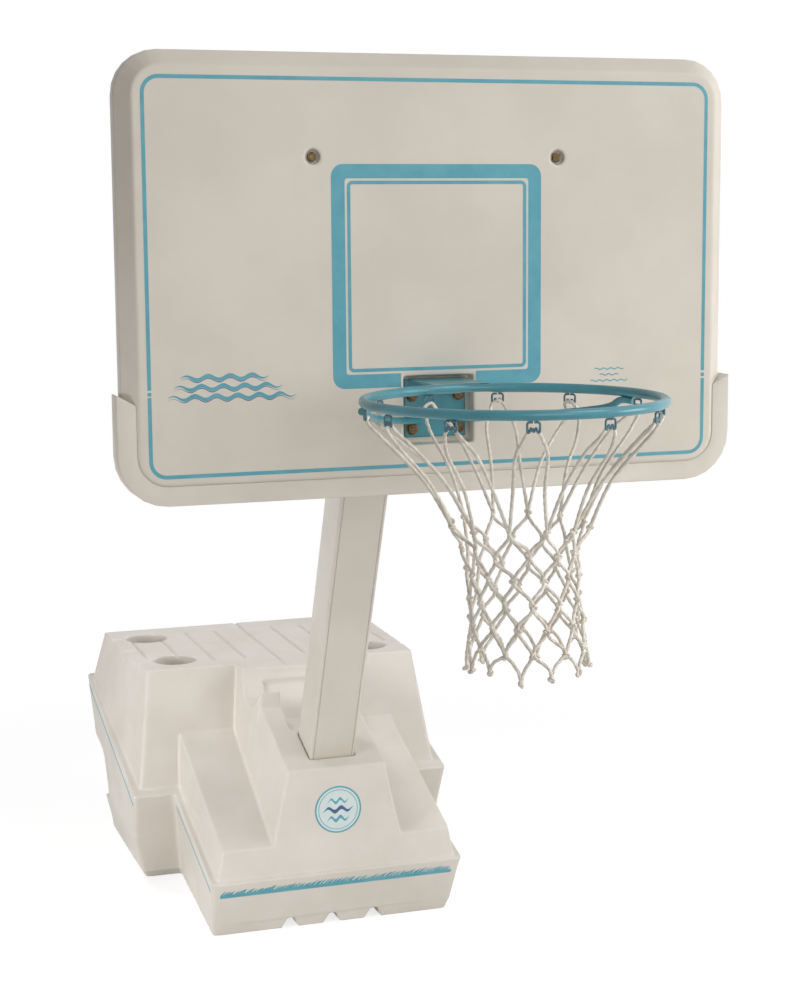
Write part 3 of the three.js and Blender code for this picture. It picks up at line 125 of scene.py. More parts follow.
@dataclass(frozen=True)
class Finish:
    """A procedural material: two tones in soft patches, a grain in the surface, and a gloss.

    Attributes:
        name: What the real material is and how it was made.
        slot: The record's material slot; not used.
        tone: Its main colour.
        shade: The colour of its patches.
        patch_mm: The size of a patch.
        patch_share: How far the patches go towards the shade.
        roughness: The middle of its roughness.
        roughness_swing: How far the roughness changes from place to place.
        grain_mm: The size of the grain.
        grain_depth_mm: The depth of the grain.
        grain_stretch: How much finer the grain is along X, Y and Z.
        metallic: 1 for bare metal.
        specular: The level of its reflection.
        coat: The weight of a clear gloss on top.
        coat_roughness: The roughness of that gloss.
    """

    name: str
    slot: str
    tone: str
    shade: str
    patch_mm: float
    patch_share: float
    roughness: float
    roughness_swing: float
    grain_mm: float
    grain_depth_mm: float
    grain_stretch: Triple = (1.0, 1.0, 1.0)
    metallic: float = 0.0
    specular: float = 0.5
    coat: float = 0.0
    coat_roughness: float = 0.1

    def make(self) -> bpy.types.Material:
        """Make the material, or return it if it is there already.

        Returns:
            The material.
        """
        known = bpy.data.materials.get(self.name)
        if known:
            return known
        material = bpy.data.materials.new(self.name)
        material.diffuse_color = linear(self.tone)
        tree = blank_tree(material)
        place = add_node(tree, "ShaderNodeTexCoord").outputs["Object"]
        shader = add_node(tree, "ShaderNodeBsdfPrincipled", {
            "Metallic": self.metallic, "Specular IOR Level": self.specular,
            "Coat Weight": self.coat, "Coat Roughness": self.coat_roughness,
            "Base Color": self.colour(tree, place), "Roughness": self.gloss(tree, place),
            "Normal": self.relief(tree, place)})
        add_node(tree, "ShaderNodeOutputMaterial", {"Surface": shader})
        return material

    def colour(self, tree: Tree, place: Feed) -> Feed:
        """Add the two tones in patches.

        Args:
            tree: The material's tree.
            place: The place on the piece.

        Returns:
            The colour.
        """
        noise = add_node(tree, "ShaderNodeTexNoise", {
            "Vector": place, "Scale": 1 / (self.patch_mm * MM), "Detail": 4.0, "Roughness": 0.55})
        share = add_node(tree, "ShaderNodeMapRange", {
            "Value": noise, "From Min": 0.35, "From Max": 0.65,
            "To Min": 0.0, "To Max": self.patch_share})
        return add_node(tree, "ShaderNodeMix", {
            0: share, 6: linear(self.tone), 7: linear(self.shade)}, data_type="RGBA").outputs[2]

    def gloss(self, tree: Tree, place: Feed) -> Feed:
        """Add a roughness that changes a little from place to place.

        Args:
            tree: The material's tree.
            place: The place on the piece.

        Returns:
            The roughness.
        """
        noise = add_node(tree, "ShaderNodeTexNoise", {
            "Vector": place, "Scale": 0.35 / (self.patch_mm * MM) + 14.0, "Detail": 3.0})
        return add_node(tree, "ShaderNodeMapRange", {
            "Value": noise, "From Min": 0.3, "From Max": 0.7,
            "To Min": self.roughness - self.roughness_swing,
            "To Max": self.roughness + self.roughness_swing})

    def relief(self, tree: Tree, place: Feed) -> Feed:
        """Add the grain as a bump.

        Args:
            tree: The material's tree.
            place: The place on the piece.

        Returns:
            The bumped normal.
        """
        stretch = add_node(tree, "ShaderNodeMapping", {"Vector": place, "Scale": self.grain_stretch})
        grain = add_node(tree, "ShaderNodeTexNoise", {
            "Vector": stretch, "Scale": 1 / (self.grain_mm * MM), "Detail": 2.0})
        return add_node(tree, "ShaderNodeBump", {
            "Height": grain, "Strength": 1.0, "Distance": self.grain_depth_mm * MM})


@dataclass(frozen=True)
class ZincPlate(Finish):
    """Zinc on steel: flat crystals of slightly different greys."""

    crystal_mm: float = 5.0

    def colour(self, tree: Tree, place: Feed) -> Feed:
        """Add crystals in two greys.

        Args:
            tree: The material's tree.
            place: The place on the piece.

        Returns:
            The colour.
        """
        cells = add_node(tree, "ShaderNodeTexVoronoi", {"Vector": place, "Scale": 1 / (self.crystal_mm * MM)})
        grey = add_node(tree, "ShaderNodeSeparateColor", {"Color": cells.outputs["Color"]})
        return add_node(tree, "ShaderNodeMix", {
            0: grey, 6: linear(self.tone), 7: linear(self.shade)}, data_type="RGBA").outputs[2]


@dataclass(frozen=True)
class WovenCord(Finish):
    """Twisted polyester cord: pale fibres with grime in soft patches."""

    fibre_mm: float = 0.7

    def relief(self, tree: Tree, place: Feed) -> Feed:
        """Add fine fibres that cross each other.

        Args:
            tree: The material's tree.
            place: The place on the piece.

        Returns:
            The bumped normal.
        """
        heights = []
        for turn in (0.7, -0.7):
            lay = add_node(tree, "ShaderNodeMapping", {"Vector": place, "Rotation": (turn, turn, 0.4)})
            wave = add_node(tree, "ShaderNodeTexWave", {
                "Vector": lay, "Scale": 0.314 / (self.fibre_mm * MM),
                "Distortion": 2.0, "Detail": 1.0})
            heights.append(wave.outputs["Fac"])
        both = add_node(tree, "ShaderNodeMath", {0: heights[0], 1: heights[1]}, operation="ADD")
        return add_node(tree, "ShaderNodeBump", {
            "Height": both, "Strength": 0.8, "Distance": self.grain_depth_mm * MM})


@dataclass(frozen=True)
class Liquid(Finish):
    """Still water, clear with a faint tint."""

    def make(self) -> bpy.types.Material:
        """Make the water from the common parts, then let light through it.

        Returns:
            The material.
        """
        material = super().make()
        shader = next(n for n in material.node_tree.nodes if n.type == "BSDF_PRINCIPLED")
        shader.inputs["Transmission Weight"].default_value = 1.0
        shader.inputs["IOR"].default_value = 1.333
        return material


# Rotationally moulded polyethylene: a soft satin, faint clouds and an orange-peel skin.
TANK = Finish(
    "rotomoulded_polyethylene", "tank_plastic", "#d6d0c8", "#cbc4ba", 160, 0.7, 0.5, 0.06, 3.2, 0.05, specular=0.4)
# Blow-moulded polyethylene of the board: flatter and a little yellower than the base.
BOARD = Finish(
    "blow_moulded_polyethylene", "board_plastic", "#d5cec2", "#cac2b6", 210, 0.7, 0.46, 0.05, 2.6, 0.04, specular=0.4)
# Extruded and welded edge of the same plastic, with fine lines along it.
BUMPER = Finish(
    "extruded_polyethylene_edge", "bumper_plastic", "#d8d1c6", "#cdc5b9", 120, 0.7, 0.5, 0.05, 2.4, 0.05, (0.2, 1, 1),
    specular=0.4)
# Powder coat baked on steel tube: even, with a fine pebble.
POLE_PAINT = Finish(
    "powder_coated_steel", "pole_paint", "#cfc9bf", "#c6bfb3", 140, 0.6, 0.4, 0.05, 1.4, 0.03, coat=0.15)
# Enamel dipped on steel rod: glossy, with sags that shift its tone a little.
TEAL_ENAMEL = Finish(
    "dipped_teal_enamel", "teal_paint", "#338a99", "#287885", 60, 0.8, 0.36, 0.05, 11.0, 0.03,
    coat=0.45, coat_roughness=0.16)
# The same teal enamel on the thin hook wire, darker than the ring's as painted shade for the hooks that hang under the
# ring.
WIRE_ENAMEL_PAINTED_SHADE = Finish(
    "gathered_teal_enamel", "teal_paint", "#235c6c", "#32707f", 9, 0.8, 0.3, 0.05, 4.0, 0.03,
    coat=0.5, coat_roughness=0.14)
# Screen-printed ink on plastic: matt, thin, with faint wear.
TEAL_INK = Finish("screen_printed_ink", "teal_paint", "#4f98a9", "#60a4b2", 38, 0.75, 0.5, 0.08, 0.9, 0.02)
# Paler ink under the badge's lines.
PALE_INK = Finish("screen_printed_pale_ink", "teal_paint", "#c6d3d3", "#d0d9d6", 30, 0.7, 0.5, 0.08, 0.9, 0.02)
# Dark blue ink, printed last and thinnest.
NAVY_INK = Finish("screen_printed_navy_ink", "teal_paint", "#3a567e", "#476488", 22, 0.7, 0.5, 0.08, 0.9, 0.02)
# Injection-moulded polypropylene cap: satin with a fine grain.
TEAL_PLASTIC = Finish(
    "moulded_teal_polypropylene", "teal_plastic", "#5d9aa8", "#54909e", 20, 0.6, 0.42, 0.05, 0.8, 0.04)
# Moulded EPDM rubber: nearly black, dusty in patches.
RUBBER = Finish(
    "moulded_black_rubber", "black_rubber", "#1f2021", "#303132", 12, 0.7, 0.62, 0.08, 0.7, 0.08, specular=0.35)
# Electroplated zinc on pressed steel: greys in crystals, half dull.
ZINC = ZincPlate("zinc_plated_steel", "zinc_steel", "#b9bcbd", "#989da0", 30, 1.0, 0.36, 0.08, 0.8, 0.02, metallic=1.0)
# Yellow-passivated plating on bolts: brassy with darker bloom.
BRASSY = Finish(
    "yellow_passivated_steel", "brassy_steel", "#746146", "#493d2d", 5, 0.9, 0.4, 0.1, 0.9, 0.03, (1, 1, 4),
    metallic=1.0)
# Twisted white polyester cord: matt fibre with grime in soft patches.
CORD = WovenCord(
    "twisted_polyester_cord", "net_cord", "#f1ece2", "#d6cbbd", 26, 0.8, 0.82, 0.06, 0.7, 0.12, specular=0.2)
# Pool water that fills the base.
WATER = Liquid("pool_water", "water", "#e4f4f4", "#d2ecec", 200, 0.5, 0.03, 0.01, 30, 0.2)


class Body(Enum):
    """The rigid bodies that a piece may ride on."""

    BASE = "base"
    BOARD = "board"
    LEVER = "lever"
    FILL_CAP = "fill_cap"
    DRAIN_PLUG = "drain_plug"


# Section: mesh tools


def placed(name: str, data: bpy.types.ID) -> Thing:
    """Put data in the scene as an object at the origin.

    Args:
        name: The object's name.
        data: Its mesh, lamp or camera.

    Returns:
        The object.
    """
    made = bpy.data.objects.new(name, data)
    bpy.context.scene.collection.objects.link(made)
    return made


def shade(mesh: bpy.types.Mesh, sharp_from: float) -> None:
    """Shade a mesh smooth, apart from edges sharper than so many degrees."""
    mesh.shade_smooth()
    mesh.set_sharp_from_angle(angle=math.radians(sharp_from))


def new_piece(name: str, points: Sequence, faces: Sequence, sharp_from: float = 40.0) -> Thing:
    """Make an object from points and faces, shaded smooth across gentle angles.

    Args:
        name: The piece's name.
        points: Its corners, in metres.
        faces: Its faces as corner numbers.
        sharp_from: Edges sharper than this many degrees stay sharp.

    Returns:
        The object, linked to the scene.
    """
    mesh = bpy.data.meshes.new(name)
    mesh.from_pydata([tuple(p) for p in points], [], [tuple(f) for f in faces])
    mesh.update()
    shade(mesh, sharp_from)
    return placed(name, mesh)


def mesh_of(work: Skin, name: str) -> bpy.types.Mesh:
    """Turn a bmesh, which is freed, to a mesh.

    Args:
        work: The bmesh.
        name: The mesh's name.

    Returns:
        The mesh.
    """
    mesh = bpy.data.meshes.new(name)
    work.to_mesh(mesh)
    work.free()
    return mesh


def dress(piece: Thing, body: Body, finish: Finish, nodes: Iterable[str] = ()) -> Thing:
    """Give a finished piece its material and its body, and hide the CAD nodes that it stands for.

    Args:
        piece: The object.
        body: The body it rides on.
        finish: Its finish, which knows its slot.
        nodes: The CAD nodes that it replaces.

    Returns:
        The same object.
    """
    piece.data.materials.clear()
    piece.data.materials.append(finish.make())
    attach(piece, body.value)
    names = list(nodes)
    if names:
        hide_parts(*names)
    LOG.info("%s rides on %s, %d faces", piece.name, body.value, len(piece.data.polygons))
    return piece


def plain_result(piece: Thing, name: str | None = None) -> Thing:
    """Turn an object with modifiers to one with a plain mesh.

    Args:
        piece: The object, which is removed.
        name: The new piece's name, if it changes.

    Returns:
        The new object.
    """
    bpy.context.view_layer.update()
    evaluated = piece.evaluated_get(bpy.context.evaluated_depsgraph_get())
    mesh = bpy.data.meshes.new_from_object(evaluated)
    made_name = name or piece.name
    old = piece.data
    bpy.data.objects.remove(piece)
    if old.users == 0:
        bpy.data.meshes.remove(old)
    mesh.name = made_name
    return placed(made_name, mesh)


def modify(piece: Thing, kind: str, **settings: object) -> None:
    """Add a modifier with its settings.

    Args:
        piece: The object.
        kind: The modifier's kind.
        settings: Its settings, in the order in which they are made.
    """
    modifier = piece.modifiers.new(kind.lower(), kind)
    for name, value in settings.items():
        setattr(modifier, name, value)


def merged_copy(node: str) -> Skin:
    """Copy a CAD node's triangles and join them where they meet.

    Args:
        node: The CAD node's name.

    Returns:
        A bmesh with its corners joined.
    """
    work = bmesh.new()
    work.from_mesh(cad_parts[node].data)
    bmesh.ops.remove_doubles(work, verts=work.verts, dist=WELD)
    return work


def softened(node: str, name: str, width_mm: float, segments: int = 2, clamp: bool = False) -> Thing:
    """Copy a CAD node with its edges rounded as a press or a file leaves them.

    Args:
        node: The CAD node's name.
        name: The new piece's name.
        width_mm: How wide a rounded edge is.
        segments: The steps across it.
        clamp: True where edges stand too close together for the full width.

    Returns:
        The new object.
    """
    work = merged_copy(node)
    bmesh.ops.dissolve_limit(
        work, angle_limit=math.radians(0.5), verts=work.verts, edges=work.edges, delimit={"NORMAL"})
    mesh = mesh_of(work, name)
    shade(mesh, 180)
    piece = placed(name, mesh)
    modify(piece, "BEVEL", width=width_mm * MM, segments=segments, limit_method="ANGLE",
           angle_limit=math.radians(34), use_clamp_overlap=clamp, harden_normals=True)
    return plain_result(piece, name)


def moulded(work: Skin, name: str, grain_mm: float, passes: int, most_faces: int) -> Thing:
    """Round all edges of a closed skin at once, as a mould or a bath of enamel does.

    Args:
        work: The skin, which is freed.
        name: The new piece's name.
        grain_mm: The grain of the remeshed skin.
        passes: The passes that round its edges.
        most_faces: The triangles that it keeps, at most.

    Returns:
        The new object.
    """
    piece = placed(name, mesh_of(work, name))
    modify(piece, "REMESH", mode="VOXEL", voxel_size=grain_mm * MM * 1)
    modify(piece, "SMOOTH", factor=0.5, iterations=passes)
    made = plain_result(piece)
    share = min(1.0, most_faces / (2 * len(made.data.polygons)))
    if share < 1.0:
        modify(made, "DECIMATE", ratio=share)
        made = plain_result(made)
    made.data.shade_smooth()
    return made


def loft(rings: Sequence[Sequence[Vector]], closed: bool = False, capped: bool = True) -> tuple[list, list]:
    """Join rings of equal length to a skin.

    Args:
        rings: The rings, each a list of places.
        closed: True if the last ring meets the first.
        capped: True to close both ends.

    Returns:
        The places and the faces.
    """
    count = len(rings[0])
    points = [p for ring in rings for p in ring]
    faces = []
    spans = len(rings) if closed else len(rings) - 1
    for level in range(spans):
        low = level * count
        high = ((level + 1) % len(rings)) * count
        for i in range(count):
            j = (i + 1) % count
            faces.append((low + i, low + j, high + j, high + i))
    if capped and not closed:
        faces.append(tuple(reversed(range(count))))
        faces.append(tuple(range(len(points) - count, len(points))))
    return points, faces


def outward(piece: Thing) -> Thing:
    """Turn a closed piece's faces outwards.

    Args:
        piece: The object.

    Returns:
        The same object.
    """
    work = bmesh.new()
    work.from_mesh(piece.data)
    bmesh.ops.remove_doubles(work, verts=work.verts, dist=0.000001)
    bmesh.ops.recalc_face_normals(work, faces=work.faces)
    work.to_mesh(piece.data)
    work.free()
    return piece


def joined(name: str, pieces: Sequence[Thing]) -> Thing:
    """Join several plain pieces to one.

    Args:
        name: The joined piece's name.
        pieces: The pieces, which are removed.

    Returns:
        The new object.
    """
    work = bmesh.new()
    for piece in pieces:
        work.from_mesh(piece.data)
    mesh = mesh_of(work, name)
    for piece in pieces:
        bpy.data.objects.remove(piece)
    return placed(name, mesh)


def full_turn(count: int, spare: int = 0) -> list[float]:
    """Divide a full turn evenly, and go on for some spare steps."""
    return [2 * math.pi * i / count for i in range(count + spare)]


def smooth_line(points: Sequence[Vector], step: float) -> list[Vector]:
    """Lay a smooth line through points, as places an even step apart.

    Args:
        points: The points it passes through.
        step: The step between places, in the points' unit.

    Returns:
        The places, with both ends.
    """
    made = [points[0].copy()]
    for i in range(len(points) - 1):
        p0 = points[max(i - 1, 0)]
        p1, p2 = points[i], points[i + 1]
        p3 = points[min(i + 2, len(points) - 1)]
        count = max(1, round((p2 - p1).length / step))
        for k in range(1, count + 1):
            t = k / count
            made.append(0.5 * (
                2 * p1 + (p2 - p0) * t + (2 * p0 - 5 * p1 + 4 * p2 - p3) * t * t
                + (3 * p1 - p0 - 3 * p2 + p3) * t * t * t))
    return made


# Section: geometry nodes


def new_group(name: str, given: dict[str, str]) -> Tree:
    """Start a geometry-node tree with named inputs and one output, "Made".

    Args:
        name: The tree's name.
        given: The inputs' names, each with its socket's kind.

    Returns:
        The tree.
    """
    tree = bpy.data.node_groups.new(name, "GeometryNodeTree")
    for label, kind in given.items():
        tree.interface.new_socket(name=label, in_out="INPUT", socket_type="NodeSocket" + kind)
    tree.interface.new_socket(name="Made", in_out="OUTPUT", socket_type="NodeSocketGeometry")
    return tree


def end_group(tree: Tree, shapes: Feed, finish: Feed) -> None:
    """End a tree: make its instances real and give them their finish.

    Args:
        tree: The tree.
        shapes: What it made.
        finish: The material's input.
    """
    real = add_node(tree, "GeometryNodeRealizeInstances", {"Geometry": shapes})
    made = add_node(tree, "GeometryNodeSetMaterial", {"Geometry": real, "Material": finish})
    add_node(tree, "NodeGroupOutput", {"Made": made})


def grown(name: str, seeds: bpy.types.Mesh, tree: Tree, values: dict, sharp_from: float) -> Thing:
    """Run a tree on a mesh and keep what it makes as a plain piece.

    Args:
        name: The piece's name.
        seeds: The lines or points that the tree starts from.
        tree: The tree.
        values: Its inputs by name, which are set by identifier.
        sharp_from: Edges sharper than this many degrees stay sharp.

    Returns:
        The object with a plain mesh.
    """
    piece = placed(seeds.name, seeds)
    modifier = piece.modifiers.new("nodes", "NODES")
    modifier.node_group = tree
    for item in tree.interface.items_tree:
        if item.item_type == "SOCKET" and item.in_out == "INPUT" and item.name in values:
            modifier[item.identifier] = values[item.name]
    made = plain_result(piece, name)
    shade(made.data, sharp_from)
    return made


@dataclass(frozen=True)
class SweptRod:
    """A geometry-node tree that sweeps a round or laid section along lines.

    Attributes:
        facets: The corners of the section.
    """

    facets: int = 12

    def tree(self) -> Tree:
        """Build the tree, or return it if it is there already.

        Returns:
            The tree.
        """
        name = f"swept_rod_{self.facets}"
        known = bpy.data.node_groups.get(name)
        if known:
            return known
        tree = new_group(name, {
            "Lines": "Geometry", "Radius": "Float", "Step": "Float", "Turns per metre": "Float",
            "Strands": "Float", "Strand depth": "Float", "Finish": "Material"})
        given = add_node(tree, "NodeGroupInput").outputs
        line = add_node(tree, "GeometryNodeMeshToCurve", {"Mesh": given["Lines"]})
        even = add_node(tree, "GeometryNodeResampleCurve", {"Curve": line, "Length": given["Step"]}, mode="LENGTH")
        along = add_node(tree, "GeometryNodeSplineParameter").outputs["Length"]
        turns = add_node(tree, "ShaderNodeMath", {0: along, 1: given["Turns per metre"]}, operation="MULTIPLY")
        angle = add_node(tree, "ShaderNodeMath", {0: turns, 1: 2 * math.pi}, operation="MULTIPLY")
        laid = add_node(tree, "GeometryNodeSetCurveTilt", {"Curve": even, "Tilt": angle})
        circle = add_node(tree, "GeometryNodeCurvePrimitiveCircle", {"Resolution": self.facets, "Radius": 1.0})
        index = add_node(tree, "GeometryNodeInputIndex")
        per_corner = add_node(tree, "ShaderNodeMath", {0: index, 1: 2 * math.pi / self.facets}, operation="MULTIPLY")
        phase = add_node(tree, "ShaderNodeMath", {0: per_corner, 1: given["Strands"]}, operation="MULTIPLY")
        wave = add_node(tree, "ShaderNodeMath", {0: phase}, operation="COSINE")
        lobe = add_node(tree, "ShaderNodeMath", {0: wave, 1: given["Strand depth"], 2: 1.0}, operation="MULTIPLY_ADD")
        reach = add_node(tree, "ShaderNodeMath", {0: lobe, 1: given["Radius"]}, operation="MULTIPLY")
        where = add_node(tree, "GeometryNodeInputPosition")
        spread = add_node(tree, "ShaderNodeVectorMath", {0: where, "Scale": reach}, operation="SCALE")
        section = add_node(tree, "GeometryNodeSetPosition", {"Geometry": circle, "Position": spread})
        rods = add_node(tree, "GeometryNodeCurveToMesh", {"Curve": laid, "Profile Curve": section, "Fill Caps": True})
        end_group(tree, rods, given["Finish"])
        return tree

    def sweep(
        self, name: str, lines: Sequence[Sequence[Vector]], radius: float, step: float, finish: Finish,
        turns: float = 0.0, strands: int = 0, depth: float = 0.0,
    ) -> Thing:
        """Sweep the section along lines.

        Args:
            name: The piece's name.
            lines: The lines, in metres.
            radius: The section's radius, in metres.
            step: The distance between rings, in metres.
            finish: The finish that the tree sets.
            turns: The turns of the lay in a metre.
            strands: The number of strands in the section.
            depth: How far a strand stands out, as a share of the radius.

        Returns:
            The object with a plain mesh.
        """
        points: list[Vector] = []
        edges: list[tuple[int, int]] = []
        for line in lines:
            first = len(points)
            points.extend(line)
            edges.extend((first + i, first + i + 1) for i in range(len(line) - 1))
        mesh = bpy.data.meshes.new(name + "_lines")
        mesh.from_pydata([tuple(p) for p in points], edges, [])
        return grown(name, mesh, self.tree(), {
            "Radius": radius, "Step": step, "Turns per metre": turns, "Strands": float(strands),
            "Strand depth": depth, "Finish": finish.make()}, 60)


@dataclass(frozen=True)
class Scatter:
    """A geometry-node tree that sets one small shape at many points, each turned at random."""

    seed: int = 7

    def tree(self) -> Tree:
        """Build the tree, or return it if it is there already.

        Returns:
            The tree.
        """
        known = bpy.data.node_groups.get("shapes_at_points")
        if known:
            return known
        tree = new_group("shapes_at_points", {
            "Points": "Geometry", "Shape": "Object", "Turn": "Float", "Size swing": "Float",
            "Seed": "Int", "Finish": "Material"})
        given = add_node(tree, "NodeGroupInput").outputs
        shape = add_node(tree, "GeometryNodeObjectInfo", {"Object": given["Shape"]}, transform_space="ORIGINAL")
        minus = add_node(tree, "ShaderNodeMath", {0: given["Turn"], 1: -1.0}, operation="MULTIPLY")
        turn = add_node(tree, "FunctionNodeRandomValue", {
            0: minus, 1: given["Turn"], "Seed": given["Seed"]}, data_type="FLOAT_VECTOR")
        least = add_node(tree, "ShaderNodeMath", {0: 1.0, 1: given["Size swing"]}, operation="SUBTRACT")
        most = add_node(tree, "ShaderNodeMath", {0: 1.0, 1: given["Size swing"]}, operation="ADD")
        size = add_node(tree, "FunctionNodeRandomValue", {2: least, 3: most, "Seed": given["Seed"]}, data_type="FLOAT")
        set_out = add_node(tree, "GeometryNodeInstanceOnPoints", {
            "Points": given["Points"], "Instance": shape.outputs["Geometry"],
            "Rotation": turn, "Scale": size.outputs[1]})
        end_group(tree, set_out, given["Finish"])
        return tree

    def place(
        self, name: str, shape: Thing, points: Sequence[Vector], finish: Finish,
        turn: float = 0.0, size_swing: float = 0.0,
    ) -> Thing:
        """Set the shape at points.

        Args:
            name: The piece's name.
            shape: The shape, which is removed afterwards.
            points: The places, in metres.
            finish: The finish that the tree sets.
            turn: The most that a shape turns about each axis, in radians.
            size_swing: The most that its size changes, as a share.

        Returns:
            The object with a plain mesh.
        """
        mesh = bpy.data.meshes.new(name + "_points")
        mesh.from_pydata([tuple(p) for p in points], [], [])
        made = grown(name, mesh, self.tree(), {
            "Shape": shape, "Turn": turn, "Size swing": size_swing, "Seed": self.seed,
            "Finish": finish.make()}, 35)
        bpy.data.objects.remove(shape)
        return made


# Section: flat prints


def rounded_path(half: float, low: float, high: float, radius: float, per_side: int = 64) -> list[Vector]:
    """Draw a rectangle with round corners, anticlockwise from the middle of its low side.

    Args:
        half: Half its width.
        low: The height of its low side.
        high: The height of its high side.
        radius: The radius of its corners.
        per_side: The places on each straight side.

    Returns:
        The places as (x, z) vectors, as many for any size.
    """
    centres = [(half - radius, low + radius, -90), (half - radius, high - radius, 0),
               (radius - half, high - radius, 90), (radius - half, low + radius, 180)]
    arcs = [[Vector((x + radius * math.cos(math.radians(start + 7.5 * i)),
                     z + radius * math.sin(math.radians(start + 7.5 * i)))) for i in range(13)]
            for x, z, start in centres]
    path: list[Vector] = []
    here = Vector((0.0, low))
    for number, arc in enumerate([*arcs, [here]]):
        count = per_side if 0 < number < 4 else per_side // 2
        path.extend(here.lerp(arc[0], k / count) for k in range(count))
        path.extend(arc[:-1])
        here = arc[-1]
    return path


def band(outer: Sequence[Vector], inner: Sequence[Vector], closed: bool) -> tuple[list[Vector], list[tuple]]:
    """Fill the strip between two lines of as many places.

    Args:
        outer: One line.
        inner: The other line.
        closed: True if both end where they start.

    Returns:
        The corners, from either line in turn, and the faces.
    """
    count = len(outer)
    corners = [place for pair in zip(outer, inner) for place in pair]
    faces = []
    for i in range(count if closed else count - 1):
        j = (i + 1) % count
        faces.append((2 * i, 2 * i + 1, 2 * j + 1, 2 * j))
    return corners, faces


def ribbon(path: Sequence[Vector], width: float, closed: bool) -> tuple[list[Vector], list[tuple]]:
    """Give a flat line a width.

    Args:
        path: The line as (x, z) vectors.
        width: The width.
        closed: True if its end meets its start.

    Returns:
        The corners, left and right in turn, and the faces.
    """
    count = len(path)
    left, right = [], []
    for i, here in enumerate(path):
        before = path[i - 1] if closed or i else here
        after = path[(i + 1) % count] if closed or i + 1 < count else here
        along = (after - before).normalized()
        side = Vector((-along.y, along.x)) * width / 2
        left.append(here + side)
        right.append(here - side)
    return band(left, right, closed)


def slab(faces: Sequence[tuple], count: int) -> list[tuple]:
    """Close a sheet of faces and its copy to a thin slab.

    Args:
        faces: The sheet's faces.
        count: The number of its corners, which the copy's corners follow.

    Returns:
        The faces of both sides and of the rim.
    """
    edges = {(a, b): True for face in faces for a, b in zip(face, face[1:] + face[:1])}
    sides = [side for face in faces for side in (face, tuple(count + i for i in reversed(face)))]
    return sides + [(b, a, count + a, count + b) for a, b in edges if (b, a) not in edges]


@dataclass
class FlatPrint:
    """Ink laid on an upright plane that faces -Y.

    Attributes:
        plane_y: Where the plane is, in millimetres.
        stand: How far the ink stands off it.
        sink: How far the ink reaches into it.
    """

    plane_y: float
    stand: float = 0.25
    sink: float = 0.3
    points: list[Vector] = field(default_factory=list)
    faces: list[tuple] = field(default_factory=list)

    def add(self, corners: Sequence[Vector], faces: Sequence[tuple]) -> None:
        """Add a flat figure as a thin closed slab.

        Args:
            corners: Its corners as (x, z) vectors, in millimetres.
            faces: Its faces.
        """
        first = len(self.points)
        for y in (self.plane_y - self.stand, self.plane_y + self.sink):
            self.points.extend(Vector((c.x, y, c.y)) * MM for c in corners)
        self.faces.extend(tuple(first + i for i in face) for face in slab(faces, len(corners)))

    def line(self, path: Sequence[Vector], width: float, closed: bool = False) -> None:
        """Add a line of a given width."""
        self.add(*ribbon(path, width, closed))

    def outline(self, path: Sequence[Vector]) -> None:
        """Add a filled outline."""
        self.add(list(path), [tuple(range(len(path)))])

    def make(self, name: str) -> Thing:
        """Make the piece from all that was added."""
        return outward(new_piece(name, self.points, self.faces, 30))


# Section: base


